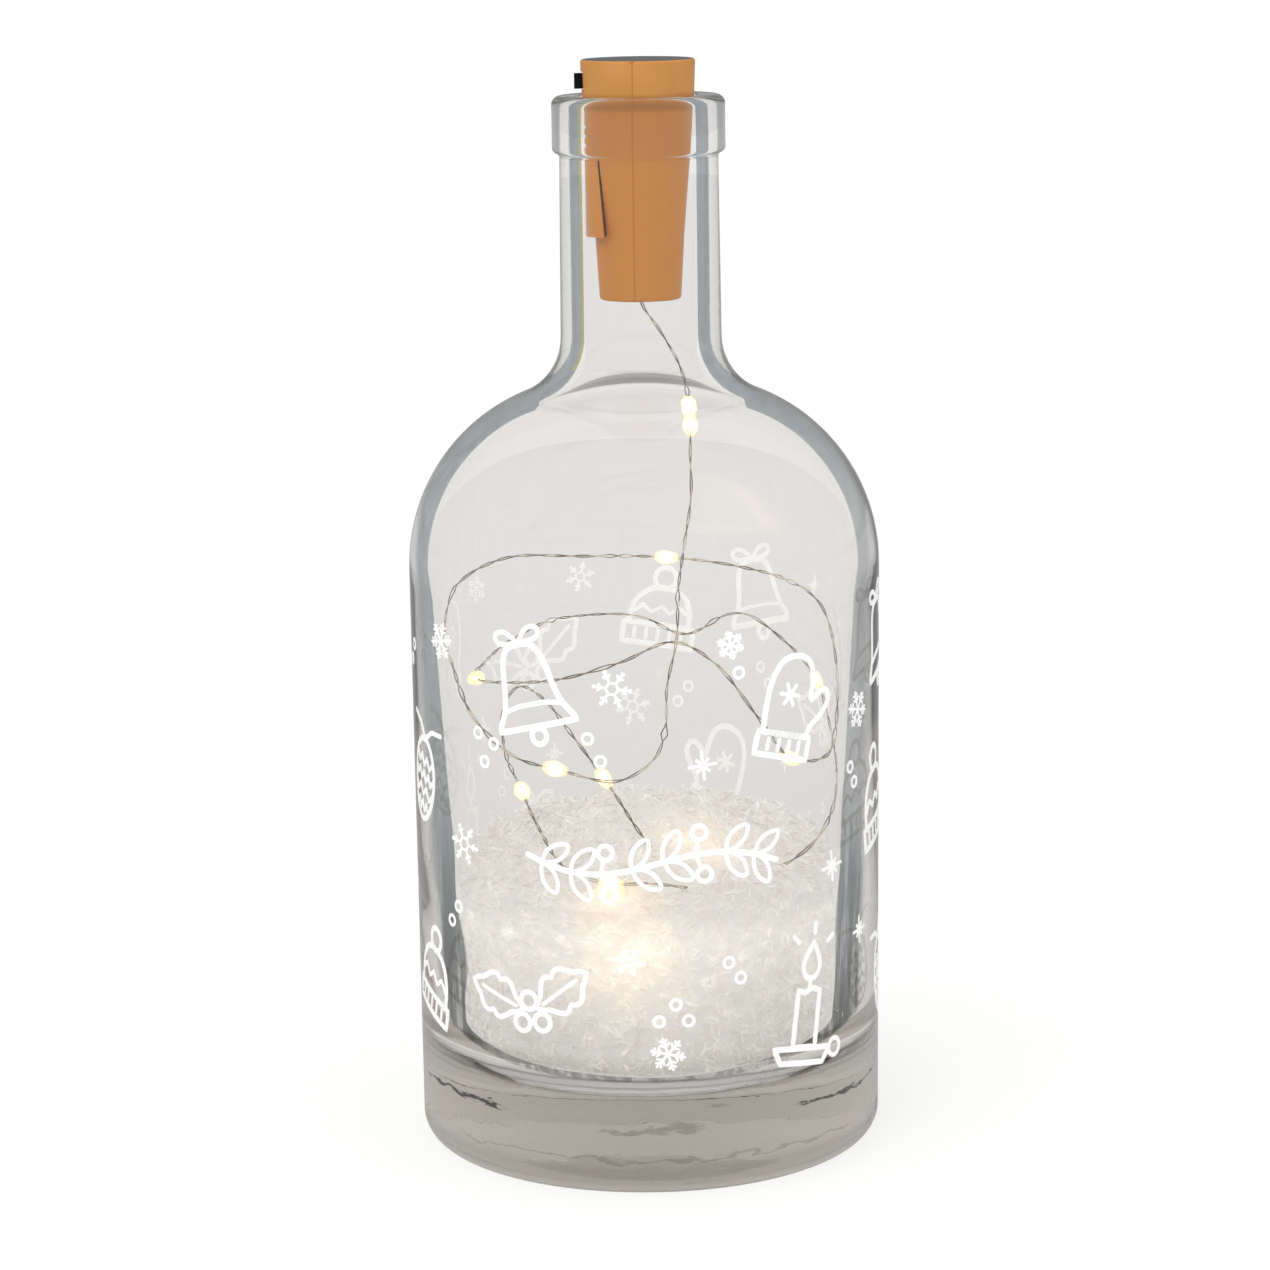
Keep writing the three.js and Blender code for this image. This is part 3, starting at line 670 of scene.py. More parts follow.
def near(f, centre, size):
    """1 at a point, falling to 0 away from it."""
    away = f.vector("DISTANCE", f.place(), tuple(c * MM for c in centre), output="Value")
    share = away * (1 / (size * MM))
    return f.maths("EXPONENT", share * share * -1.0)


def snow_finish(name, colour, shade, scale):
    """Soft white shreds, with painted light: an emission brightest just below the snow's top stands in for light
    passing through them, and painted warm pools stand in for the glow of the lights near them.
    """
    f = Finish(name)
    tone = f.ramp(f.grain(scale, 4), (0.3, shade), (0.65, colour))
    rough = f.ramp(f.grain(scale * 2.3, 2), (0.35, grey(0.45)), (0.6, grey(0.9)))
    # Painted light: warm emission pooled round the spots above.
    lit = sum(near(f, *spot) * strength for *spot, strength in PAINTED_WARM_POOLS)
    glow = f.blend(lit, BLACKEST, (1.0, 0.62, 0.33))
    # Painted light: an emission brightest just below the snow's top, weaker on the top, faint low down.
    painted_glow = f.ramp(f.axis("Z") * 10.0, (0.16, (0.03, 0.027, 0.02)), (0.46, (0.245, 0.237, 0.221)),
                  (0.54, (0.11, 0.105, 0.097)))
    return f.surface(Base_Color=tone, Roughness=rough, Sheen_Weight=0.15,
                     Emission_Color=f.blend(1.0, glow, painted_glow, "ADD"), Emission_Strength=1.0,
                     Normal=f.bump(f.grain(scale * 3, 3), 0.35, 0.25))


def cork_finish():
    """Cork-coloured plastic, with the seam and the grey top. Below the lip it is redder, a painted shade for where the
    neck shades it, with a darker painted shadow ring where it sits in the mouth.
    """
    f = Finish("cork-coloured plastic")
    cloud, fine = f.grain(110, 4), f.grain(1500, 3)
    tone = f.ramp(cloud, (0.3, (0.585, 0.26, 0.069)), (0.55, (0.64, 0.295, 0.082)),
                  (0.75, (0.68, 0.325, 0.1)))
    height = f.axis("Z") * 1000.0
    level = (height - 150.0) * 0.02
    # Painted shade: redder below the lip, and a darker painted shadow ring where the plug sits in the mouth.
    plug = f.ramp(level, (0.60, (0.665, 0.252, 0.036)), (0.66, (0.61, 0.226, 0.034)),
                  (0.80, (0.61, 0.226, 0.036)), (0.822, (0.36, 0.13, 0.03)), (0.84, (0.36, 0.13, 0.03)))
    tone = f.blend(f.ramp(level, (0.84, WHITEST), (0.87, BLACKEST)), tone, plug)
    seam = f.maths("ABSOLUTE", f.axis("X") * 1000.0 - SEAM_X) < 0.13
    tone = f.blend(seam * 0.45, tone, (0.34, 0.13, 0.03))
    tone = f.blend(height > STOPPER_TOP - 0.03, tone, (0.12, 0.125, 0.135))
    rough = f.ramp(fine, (0.3, grey(0.5)), (0.7, grey(0.4)))
    return f.surface(Base_Color=tone, Roughness=rough, Specular_IOR_Level=0.22,
                     Normal=f.bump(fine + cloud * 2.0, 0.1, 0.1))


def plain_finish(name, low, high, scale, rough, metal=0.0, coat=0.0, specular=0.5):
    """A moulded, plated or lacquered finish that varies a little in colour and gloss."""
    f = Finish(name)
    cloud = f.grain(scale, 4)
    gloss = f.ramp(f.grain(scale * 2.1, 3), (0.3, grey(rough * 0.8)), (0.7, grey(rough * 1.2)))
    return f.surface(Base_Color=f.ramp(cloud, (0.3, low), (0.7, high)), Roughness=gloss, Metallic=metal,
                     Coat_Weight=coat, Specular_IOR_Level=specular, Normal=f.bump(cloud, 0.1, 0.05))


def ink_finish():
    """White enamel with a painted glow: its emission, stronger on the far side of the bottle, stands in for the white
    room shining through it.
    """
    f = Finish("white enamel print")
    cloud = f.grain(900, 4)
    tone = f.ramp(cloud, (0.3, (0.955, 0.955, 0.95)), (0.7, (0.985, 0.985, 0.98)))
    # Painted light: emission that rises from the near side of the bottle to the far side.
    lit = f.ramp(f.axis("Y") * 10.0 + 0.5, (0.5, grey(0.13)), (0.65, (0.40, 0.40, 0.395)))
    return f.surface(Base_Color=tone, Roughness=0.4, Emission_Color=lit, Emission_Strength=1.0,
                     Normal=f.bump(cloud, 0.1, 0.05))


def wire_finish():
    f = Finish("lacquered fine wire")
    cloud = f.grain(330, 2)
    # Painted highlights: the bright stops stand in for glints where the twisted strands catch the light.
    tone = f.ramp(cloud, (0.36, (0.15, 0.12, 0.095)), (0.5, (0.36, 0.29, 0.22)), (0.6, (0.74, 0.67, 0.54)))
    return f.surface(Base_Color=tone, Roughness=0.3, Metallic=0.6, Normal=f.bump(cloud, 0.1, 0.05))


def resin_finish():
    """Clear resin filled with the warm light of the chip in it, soft at its rim."""
    f = Finish("lit resin")
    glow = f.node("ShaderNodeAttribute", {"attribute_name": "glow"}, output="Fac")
    middle = glow * (1.0 - f.facing())
    shine = f.ramp(middle, (0.0, (0.30, 0.16, 0.055)), (0.3, (0.62, 0.40, 0.17)), (0.75, (1.0, 0.80, 0.48)))
    clear = f.ramp(middle, (0.0, grey(0.12)), (0.35, grey(0.5)), (0.7, grey(0.85)))
    return f.surface(Base_Color=(0.9, 0.75, 0.5), Roughness=0.12, IOR=1.5, Alpha=clear,
                     Emission_Color=shine, Emission_Strength=1.7)


def chip_finish():
    """The lit chip in the resin."""
    f = Finish("lit chip")
    shine = f.ramp(f.grain(1500, 2), (0.3, (1.0, 0.80, 0.52)), (0.7, (1.0, 0.88, 0.66)))
    return f.surface(Base_Color=(0.9, 0.8, 0.5), Roughness=0.4, Emission_Color=shine, Emission_Strength=3.5)


def resistor_finish():
    """A sand-coloured body with four colour rings."""
    f = Finish("lacquered resistor")
    body = (0.55, 0.46, 0.28)
    rings = f.ramp(f.axis("Y") * 100.0 + 0.5, (0.0, body), (0.36, (0.35, 0.08, 0.03)), (0.40, body),
                   (0.46, (0.06, 0.05, 0.25)), (0.50, body), (0.56, (0.3, 0.03, 0.02)), (0.60, body),
                   (0.64, (0.45, 0.3, 0.08)))
    return f.surface(Base_Color=rings, Roughness=0.3, Coat_Weight=0.4,
                     Normal=f.bump(f.grain(900), 0.05, 0.05))


GLASS = glass_finish()
INK = ink_finish()
SNOW_BODY = snow_finish("packed snow", (0.86, 0.845, 0.82), (0.80, 0.78, 0.75), 700)
SNOW_FLAKE = snow_finish("shredded snow", (0.95, 0.935, 0.91), (0.74, 0.725, 0.695), 330)
CORK = cork_finish()
BLACK = plain_finish("black plastic", (0.004, 0.004, 0.0045), (0.008, 0.008, 0.009), 700, 0.5,
                     specular=0.12)
STEEL = plain_finish("nickel plate", (0.58, 0.57, 0.55), (0.70, 0.69, 0.66), 500, 0.28, metal=1.0)
BOARD = plain_finish("solder resist", (0.02, 0.12, 0.05), (0.03, 0.17, 0.08), 500, 0.35, coat=0.3)
RESISTOR = resistor_finish()
GLUE = plain_finish("cloudy hot glue", (0.62, 0.58, 0.48), (0.72, 0.68, 0.58), 300, 0.35)
WIRE = wire_finish()
RESIN = resin_finish()
CHIP = chip_finish()


def belongs(piece, body, slot, node=None):
    """Says which body a piece moves with, what it is made of and which CAD node it stands for."""
    if node:
        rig.replaces(piece, node)
    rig.slot(piece, slot)
    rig.ride(piece, body)


# String of lights

def curve_through(points, parts=60):
    """The smooth centripetal curve through these points, finely sampled."""
    p = [np.array(q, float) for q in points]
    p = [2 * p[0] - p[1], *p, 2 * p[-1] - p[-2]]
    out = []
    for a, b, c, d in zip(p, p[1:], p[2:], p[3:]):
        first, middle, last = (np.linalg.norm(q - r) ** 0.5 for q, r in ((b, a), (c, b), (d, c)))
        start = ((b - a) / first - (c - a) / (first + middle) + (c - b) / middle) * middle
        end = ((c - b) / middle - (d - b) / (middle + last) + (d - c) / last) * middle
        for t in np.arange(parts) / parts:
            out.append(b + start * t + (3 * c - 3 * b - 2 * start - end) * t ** 2
                       + (2 * b - 2 * c + start + end) * t ** 3)
    return np.array([*out, p[-2]])


def evenly(points, step):
    """Points a fixed step apart along a sampled curve."""
    run = np.concatenate([[0], np.cumsum(np.linalg.norm(np.diff(points, axis=0), axis=1))])
    marks = np.linspace(0, run[-1], int(round(run[-1] / step)) + 1)
    return np.stack([np.interp(marks, run, points[:, k]) for k in range(3)], axis=1), marks


def carried_frames(points):
    """Two directions across the curve at each point, carried along it without twist."""
    ahead = np.gradient(points, axis=0)
    ahead /= np.linalg.norm(ahead, axis=1)[:, None]
    side = np.cross(ahead[0], (1, 0, 0))
    sides = []
    for t in ahead:
        side = side - t * (side @ t)
        side = side / np.linalg.norm(side)
        sides.append(side)
    sides = np.array(sides)
    return ahead, sides, np.cross(ahead, sides)


route, marks = evenly(curve_through(STRING_POINTS), STRING_STEP)
ahead, across, over = carried_frames(route)
STRING_LENGTH = marks[-1]


def run_at(index):
    """How far along the route a point of it lies."""
    return marks[np.argmin(np.linalg.norm(route - np.array(STRING_POINTS[index], float), axis=1))]


KINK_RUN = run_at(13) + 1.5


def twisted_pair(name, start, end):
    """Two fine wires twisted about a stretch of the route, opening in small loops here and there."""
    part = [i for i in range(len(marks)) if start - 1e-6 <= marks[i] <= end + 1e-6]
    points, faces = [], []
    for strand in (0, 1):
        base = len(points)
        for i in part:
            run = marks[i]
            lean = 1.3 * math.sin(run / 11.3) + 0.9 * math.sin(run / 4.7)
            turn = 2 * math.pi * run / TWIST_LENGTH + lean + math.pi * strand
            open_loop = max(0.0, math.sin(run / 6.1) * math.sin(run / 2.9 + 1)) ** 2
            kink = math.exp(-((run - KINK_RUN) / 1.1) ** 2)
            offset = STRAND_OFFSET * (1 + 1.1 * open_loop + 2.4 * kink)
            centre = route[i] + offset * (math.cos(turn) * across[i] + math.sin(turn) * over[i])
            for k in range(STRAND_SIDES):
                angle = 2 * math.pi * k / STRAND_SIDES
                points.append(centre + STRAND_RADIUS * (
                    math.cos(angle) * across[i] + math.sin(angle) * over[i]))
        for n in range(len(part) - 1):
            for k in range(STRAND_SIDES):
                j = (k + 1) % STRAND_SIDES
                a = base + n * STRAND_SIDES
                faces.append((a + k, a + j, a + STRAND_SIDES + j, a + STRAND_SIDES + k))
        last = base + (len(part) - 1) * STRAND_SIDES
        faces.append(tuple(base + k for k in reversed(range(STRAND_SIDES))))
        faces.append(tuple(last + k for k in range(STRAND_SIDES)))
    piece = face_outwards(new_piece(name, points, faces, WIRE))
    return piece, [tuple(route[i] * MM) for i in part]


def resin_drop(name, index):
    """A drop of resin over a light, a little uneven, drawn out along the wires."""
    seed = 7.3 * index
    profile = []
    for t in np.linspace(-1, 1, 19):
        round_share = max(0.0, 1 - abs(t) ** 2.3) ** 0.55
        neck = 0.1 * math.exp(-((abs(t) - 1) / 0.12) ** 2)
        profile.append((BEAD_RADIUS * (0.94 * round_share + neck), BEAD_LENGTH / 2 * t))
    profile[0], profile[-1] = (0.0, -BEAD_LENGTH / 2), (0.0, BEAD_LENGTH / 2)

    def wander(angle, z, _):
        return 0.1 * BEAD_RADIUS * math.sin(2 * angle + z + seed) * math.cos(z * 0.9)

    piece = turned(name, profile, 22, RESIN, wander=wander)
    glow = piece.data.attributes.new("glow", "FLOAT", "POINT")
    values = [0.45 + 0.55 * math.exp(-(v.co.z / MM / 1.35) ** 2) for v in piece.data.vertices]
    glow.data.foreach_set("value", values)
    return on_string(piece, index)


def on_string(piece, index):
    before, after = Vector(STRING_POINTS[index - 1]), Vector(STRING_POINTS[index + 1])
    turn = (after - before).to_track_quat("Z", "Y").to_matrix().to_4x4()
    piece.data.transform(Matrix.Translation(Vector(STRING_POINTS[index]) * MM) @ turn)
    return piece


def lit_chip(name, index):
    """The small chip in a drop, with rounded edges."""
    piece = block(name, *(side * half for half in CHIP_HALF for side in (-1, 1)), CHIP)
    soften(piece, CHIP_EDGE, 3)
    return on_string(piece, index)


lead_end, slack_end = (marks[np.searchsorted(marks, LEAD_LENGTH + more)] for more in (0, SLACK_LENGTH))
lead, lead_path = twisted_pair("string_lead_pair", 0, lead_end)
slack, slack_path = twisted_pair("string_slack_pair", lead_end, slack_end)
loops, loops_path = twisted_pair("string_loops_pair", slack_end, STRING_LENGTH)
drops = []
for number, index in enumerate(BEAD_POINTS, 1):
    body = "stopper" if number == 1 else "bottle"
    bead = resin_drop(f"resin_drop_{number}", index)
    chip = lit_chip(f"lit_chip_{number}", index)
    belongs(bead, body, "light", f"led_bead_{number}")
    belongs(chip, body, "light")
    bead.visible_glossy = chip.visible_glossy = False
    drops += [bead, chip]

belongs(lead, "stopper", "wire", "string_lead")
belongs(loops, "bottle", "wire", "string_loops")
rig.replaces(slack, "string_slack")
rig.slot(slack, "wire")
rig.blend(slack, "bottle", "stopper", start=(0, 0, slack_path[-1][2]), end=(0, 0, slack_path[0][2]))


def path_length(path):
    return float(sum((Vector(a) - Vector(b)).length for a, b in zip(path, path[1:])))


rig.cord(lead, exit=(0, 0, STOPPER_FOOT * MM), length=path_length(lead_path), diameter=STRING_DIAMETER * MM,
        far_end="object", stiffness="limp", lay="hanging", path=lead_path, with_pieces=drops[:2])
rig.cord(slack, exit=slack_path[0], length=path_length(slack_path), diameter=STRING_DIAMETER * MM,
        far_end="object", stiffness="limp", lay="hanging", path=slack_path)
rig.cord(loops, exit=loops_path[0], length=path_length(loops_path), diameter=STRING_DIAMETER * MM,
        far_end="object", stiffness="limp", lay="loose", path=loops_path, with_pieces=drops[2:])


# Bottle

def shoulder_join(shoulder, fillet, neck):
    across_join = neck + fillet - (BODY_RADIUS - SHOULDER_ROUND)
    rise = math.sqrt((shoulder + fillet) ** 2 - across_join ** 2)
    return SHOULDER_START + rise, math.degrees(math.atan2(rise, across_join))


def outside_profile():
    centre = BODY_RADIUS - SHOULDER_ROUND
    join_z, join_angle = shoulder_join(SHOULDER_ROUND, NECK_ROUND, NECK_FOOT_RADIUS)
    lip_foot = BOTTLE_HEIGHT - LIP_HEIGHT
    punt = [(PUNT_RADIUS * i / 10, PUNT_HEIGHT * (1 - (i / 10) ** 2)) for i in range(11)]
    return [
        *punt,
        *arc(FOOT_RADIUS - HEEL_ROUND, HEEL_ROUND, HEEL_ROUND, -90, 0, 12),
        *line((FOOT_RADIUS, HEEL_ROUND), (BODY_RADIUS, SHOULDER_START), 24)[1:-1],
        *arc(centre, SHOULDER_START, SHOULDER_ROUND, 0, join_angle, 30),
        *arc(NECK_FOOT_RADIUS + NECK_ROUND, join_z, NECK_ROUND, 180 + join_angle, 180, 14)[1:],
        *line((NECK_FOOT_RADIUS, join_z), (NECK_TOP_RADIUS, lip_foot - 0.5), 6)[1:],
        *arc(NECK_TOP_RADIUS + 0.5, lip_foot - 0.5, 0.5, 180, 90, 4)[1:-1],
        *arc(LIP_RADIUS - LIP_LOWER_ROUND, lip_foot + LIP_LOWER_ROUND, LIP_LOWER_ROUND, -90, 0, 6),
        *arc(LIP_RADIUS - LIP_UPPER_ROUND, BOTTLE_HEIGHT - LIP_UPPER_ROUND, LIP_UPPER_ROUND, 0, 90, 8),
    ]


def inside_profile():
    centre = BODY_RADIUS - SHOULDER_ROUND
    shoulder = SHOULDER_ROUND - WALL
    join_z, join_angle = shoulder_join(shoulder, BORE_ROUND, BORE_RADIUS)
    return [
        *arc(BORE_RADIUS + MOUTH_ROUND, BOTTLE_HEIGHT - MOUTH_ROUND, MOUTH_ROUND, 90, 180, 6),
        *line((BORE_RADIUS, BOTTLE_HEIGHT - MOUTH_ROUND), (BORE_RADIUS, join_z), 8)[1:-1],
        *arc(BORE_RADIUS + BORE_ROUND, join_z, BORE_ROUND, 180, 180 + join_angle, 14),
        *arc(centre, SHOULDER_START, shoulder, join_angle, 0, 26)[1:],
        *line((BODY_RADIUS - WALL, SHOULDER_START), (BOWL_EDGE, BOWL_TOP), 24)[1:],
        *arc(BOWL_EDGE - BOWL_ROUND, BOWL_TOP, BOWL_ROUND, 0, -90, 16)[1:],
        *[((BOWL_EDGE - BOWL_ROUND) * (1 - i / 6), FLOOR_THICKNESS + FLOOR_CROWN * (1 - (1 - i / 6) ** 2))
          for i in range(1, 7)],
    ]


def uneven_wall(outer_count):
    """The inside of a blown bottle wanders a little from round, most of all low down."""
    def wander(angle, z, index):
        if index < outer_count or z > 150:
            return 0.0
        low = math.exp(-((z - 30) / 26) ** 2)
        wave = 0.10 * math.sin(2 * angle + 0.02 * z) + 0.06 * math.sin(3 * angle + 1.3 - 0.03 * z)
        return wave * min(1.0, (150 - z) / 30) * (1 + low) + 0.07 * low * math.sin(7 * angle + 0.3 * z)
    return wander


outer = outside_profile()
bottle = turned("bottle", outer + inside_profile(), BOTTLE_FACETS, GLASS, wander=uneven_wall(len(outer)))
belongs(bottle, "bottle", "glass", "bottle_glass")


def inner_radius(z):
    """The cavity's radius at a height in its lower part."""
    if z >= BOWL_TOP:
        share = (z - BOWL_TOP) / (SHOULDER_START - BOWL_TOP)
        return BOWL_EDGE + (BODY_RADIUS - WALL - BOWL_EDGE) * share
    drop = min(BOWL_ROUND, BOWL_TOP - z)
    return BOWL_EDGE - BOWL_ROUND + math.sqrt(BOWL_ROUND ** 2 - drop ** 2)


# Print on the glass: line drawings of winter things
# A stroke is its points, whether it closes, and its width.

def spun(points, angle, x, y):
    c, s = math.cos(angle), math.sin(angle)
    return [(x + c * px - s * py, y + s * px + c * py) for px, py in points]


def opened(points, width, angle=0.0, x=0.0, y=0.0):
    return (spun(points, angle, x, y), False, width)


def closed(points, width, angle=0.0, x=0.0, y=0.0):
    return (spun(points, angle, x, y), True, width)


def ring(x, y, r, count, squash=1.0):
    turns = [2 * math.pi * i / count for i in range(count)]
    return [(x + r * math.cos(t), y + squash * r * math.sin(t)) for t in turns]


def rounded(points, times=2):
    """The same open outline with its corners cut round and its ends kept."""
    for _ in range(times):
        cut_back = [(a[0] + (b[0] - a[0]) * t, a[1] + (b[1] - a[1]) * t)
                    for a, b in zip(points, points[1:]) for t in (0.25, 0.75)]
        points = [points[0], *cut_back[1:-1], points[-1]]
    return points


def mirrored(points):
    return [(-x, y) for x, y in reversed(points)]


def flake(r, width):
    """A six-armed snow crystal with two pairs of barbs on each arm."""
    strokes = []
    for k in range(6):
        angle = math.pi / 3 * k + math.pi / 6
        strokes.append(opened([(0, 0), (r, 0)], width, angle))
        for place, barb in ((0.45, 0.26), (0.72, 0.2)):
            for side in (-1, 1):
                tip = ((place + barb * 0.7) * r, side * barb * r)
                strokes.append(opened([(place * r, 0), tip], width * 0.9, angle))
    return strokes


def crystal(r, width):
    """A snow crystal with a hexagon round its middle and a dot at the end of each arm."""
    strokes = [closed(ring(0, 0, 0.34 * r, 6), width)]
    for k in range(6):
        angle = math.pi / 3 * k
        strokes.append(opened([(0.34 * r, 0), (0.86 * r, 0)], width, angle))
        strokes.append(closed(ring(0.95 * r, 0, 0.07 * r, 8), width * 0.8, angle))
        for side in (-1, 1):
            strokes.append(opened([(0.58 * r, 0), (0.74 * r, side * 0.17 * r)], width * 0.9, angle))
    return strokes


def star_burst(r):
    """A plain eight-pointed star of crossing lines."""
    return [opened([(-reach, 0), (reach, 0)], 0.6, math.pi / 4 * k)
            for k, reach in enumerate((r, r * 0.6, r, r * 0.6))]


def leaf(angle, x, length=9.5, width=0.8):
    """A holly leaf: three hollows on each side and a midrib."""
    half = []
    for i in range(19):
        t = i / 18
        bulge = 0.34 * math.sin(math.pi * t) * (0.72 + 0.28 * abs(math.cos(3 * math.pi * t)))
        half.append((length * t, length * bulge))
    edge = half + [(px, -py) for px, py in half[::-1][1:-1]]
    midrib = [(0.12 * length, 0), (0.8 * length, 0)]
    return [closed(edge, width, angle, x), opened(midrib, width * 0.75, angle, x)]


def holly():
    berries = [closed(ring(x, y, 1.25, 14), 0.8) for x, y in ((0, 1.2), (-1.6, -1.8), (1.6, -2.0))]
    return leaf(math.radians(28), 1.2) + leaf(math.radians(152), -1.2) + berries


def bell():
    side = rounded([(0, 8.2), (1.9, 8.1), (3.1, 6.6), (3.6, 4.2), (4.0, 1.4), (4.7, -1.0), (6.0, -2.9),
                    (6.2, -3.6)])
    wing = rounded([(0, 8.4), (1.8, 10.4), (3.8, 10.2), (3.4, 8.5), (0, 8.4)])
    band = [(-4.6, -0.9), (-2, -0.4), (2, -0.4), (4.6, -0.9)]
    return [closed(side + mirrored(side[1:]), 0.95), opened(band, 0.75),
            closed(ring(0, -5.0, 1.15, 14), 0.85), closed(wing[:-1] + mirrored(wing)[:-1], 0.75)]


def mitten():
    hand = rounded([(-4.2, -3.6), (-4.6, 0.5), (-4.4, 4.7), (-3.0, 7.6), (0, 8.6), (2.6, 7.7), (3.6, 5.0),
                    (3.5, 1.5), (5.2, 3.6), (7.0, 4.1), (7.7, 2.3), (6.4, 0.1), (4.3, -1.9), (3.9, -3.6)])
    cuff = [(-5.0, -3.6), (4.7, -3.6), (4.7, -7.0), (-5.0, -7.0)]
    ribs = [opened([(x, -4.5), (x, -6.1)], 0.7) for x in (-2.9, -1.0, 0.9, 2.8)]
    star = [opened([(-1.7, 0), (1.7, 0)], 0.65, math.pi / 3 * k, -0.6, 2.4) for k in range(3)]
    return [closed(hand, 0.95), closed(cuff, 0.95)] + ribs + star


def candle():
    side = [(1.5, 8.4), (1.8, 6.9), (1.0, 5.5)]
    flame = rounded([(0, 10.8), *side, (0, 5.3), *mirrored(side), (0, 10.8)])[:-1]
    wax = [(-2.2, 3.6), (-0.9, 3.2), (0.4, 3.9), (2.2, 3.5), (2.2, -5.0), (-2.2, -5.0)]
    tray = [(-5.6, -5.2), (5.6, -5.2), (4.2, -7.4), (-4.2, -7.4)]
    rays = [opened([(4.0, 0), (5.4, 0)], 0.75, math.radians(angle), 0, 8.2) for angle in (40, 90, 140)]
    return [closed(flame, 0.85), closed(wax, 0.9), closed(tray, 0.9), opened([(0, 3.9), (0, 5.2)], 0.7),
            closed(ring(6.8, -5.4, 1.3, 14), 0.75)] + rays


def cone():
    """A pine cone: an oval with rows of scales and two needles."""
    strokes = [closed(ring(0, 0, 4.4, 26, 1.45), 0.9)]
    for row, y in enumerate((-3.6, -1.2, 1.2, 3.6)):
        half = 4.2 * math.sqrt(max(0.05, 1 - (y / 6.4) ** 2))
        count = 3 if row % 2 else 4
        step = 2 * half / count
        for i in range(count):
            left = -half + 2 * half * i / count
            strokes.append(opened([(left, y), (left + step * 0.5, y - 1.5), (left + step, y)], 0.7))
    return strokes + [opened([(0, 6.4), (side * 2.4, 8.4), (side * 5.4, 9.0)], 0.75) for side in (-1, 1)]


def hat():
    """A knitted hat with a bobble and a ribbed brim."""
    half = [(-5.4, -1.8), (-5.3, 1.5), (-4.0, 4.6), (-1.7, 6.1)]
    brim = [(-6.3, -1.8), (6.3, -1.8), (6.3, -5.0), (-6.3, -5.0)]
    ribs = [opened([(x, -2.7), (x, -4.1)], 0.7) for x in (-4.2, -2.1, 0, 2.1, 4.2)]
    zigzag = [(-4.9, 0.6), (-3.3, 2.1), (-1.6, 0.6), (0, 2.1), (1.6, 0.6), (3.3, 2.1), (4.9, 0.6)]
    return [opened(rounded(half + mirrored(half)), 0.95), closed(brim, 0.95),
            closed(ring(0, 7.8, 1.9, 16), 0.9)] + ribs + [opened(zigzag, 0.75)]


TWIG_WAVE = 2.3
TWIG_BEND = 7.0


def garland():
    """A long twig with paired leaves and berries."""
    stem = [(x, TWIG_WAVE * math.sin(x / TWIG_BEND)) for x in np.linspace(-20, 20, 41)]
    blade = rounded([(0, 0), (1.5, 1.2), (3.6, 1.4), (5.7, 0.3), (3.7, -1.0), (1.6, -0.9), (0, 0)])[:-1]
    strokes = [opened(stem, 0.9)]
    for n, x in enumerate(np.linspace(-17.5, 16, 8)):
        y = TWIG_WAVE * math.sin(x / TWIG_BEND)
        lean = math.atan(TWIG_WAVE / TWIG_BEND * math.cos(x / TWIG_BEND))
        for side in (-1, 1):
            if n % 3 == 2:
                berry, stalk = spun([(1.0, side * 3.3), (0.6, side * 2.2)], lean, x, y)
                strokes += [closed(ring(*berry, 1.15, 14), 0.75), opened([(x, y), stalk], 0.6)]
            else:
                strokes.append(closed(blade, 0.65, lean + side * 0.85, x, y))
    return strokes


def closer(points, closes, gap=1.0):
    """The same stroke with points no more than a gap apart."""
    loop = list(points) + ([points[0]] if closes else [])
    out = []
    for a, b in zip(loop, loop[1:]):
        steps = max(1, int(math.ceil(math.dist(a, b) / gap)))
        out += [(a[0] + (b[0] - a[0]) * i / steps, a[1] + (b[1] - a[1]) * i / steps) for i in range(steps)]
    if not closes:
        out.append(loop[-1])
    return out


INK_LIFT = 0.015
INK_THICKNESS = 0.05


def on_glass(u, z, lift):
    """The point on the bottle at a distance round it from its front and a height."""
    share = (z - HEEL_ROUND) / (SHOULDER_START - HEEL_ROUND)
    radius = FOOT_RADIUS + (BODY_RADIUS - FOOT_RADIUS) * share + lift
    angle = u / BODY_RADIUS - math.pi / 2
    return (radius * math.cos(angle), radius * math.sin(angle), z)


def stroke_rows(path, closes, half):
    """The left and right points of a strip along a path, with round ends where it is open."""
    if closes:
        way = np.roll(path, -1, axis=0) - np.roll(path, 1, axis=0)
    else:
        way = np.vstack([path[1:], path[-1:]]) - np.vstack([path[:1], path[:-1]])
    way /= np.linalg.norm(way, axis=1)[:, None]
    aside = half * np.stack([-way[:, 1], way[:, 0]], axis=1)
    rows = [[a, b] for a, b in zip(path + aside, path - aside)]
    if closes:
        return rows
    for end, sign in ((0, -1), (-1, 1)):
        for turn in (0.5, 0.87):
            centre = path[end] + way[end] * sign * half * turn
            cap = aside[end] * math.sqrt(1 - turn ** 2)
            rows.insert(0 if end == 0 else len(rows), [centre + cap, centre - cap])
    return rows


def print_strokes(placed):
    """The print as one thin mesh. Each stroke is a strip."""
    points, faces = [], []
    for stroke, closes, width in placed:
        rows = stroke_rows(np.array(closer(stroke, closes)), closes, width / 2)
        base, count = len(points), len(rows)
        for u, z in (corner for row in rows for corner in row):
            points += [on_glass(u, z, INK_LIFT), on_glass(u, z, INK_LIFT + INK_THICKNESS)]
        for i in range(count if closes else count - 1):
            p, q = base + 4 * i, base + 4 * ((i + 1) % count)
            faces += [(p + 1, q + 1, q + 3, p + 3), (p, p + 2, q + 2, q),
                      (p, q, q + 1, p + 1), (p + 2, p + 3, q + 3, q + 2)]
        if not closes:
            last = base + 4 * (count - 1)
            faces += [(base, base + 1, base + 3, base + 2), (last, last + 2, last + 3, last + 1)]
    return face_outwards(new_piece("print_on_glass", points, faces, INK, smooth=False))


PRINT_SCALE = 1.28
PRINT_WEIGHT = 1.2

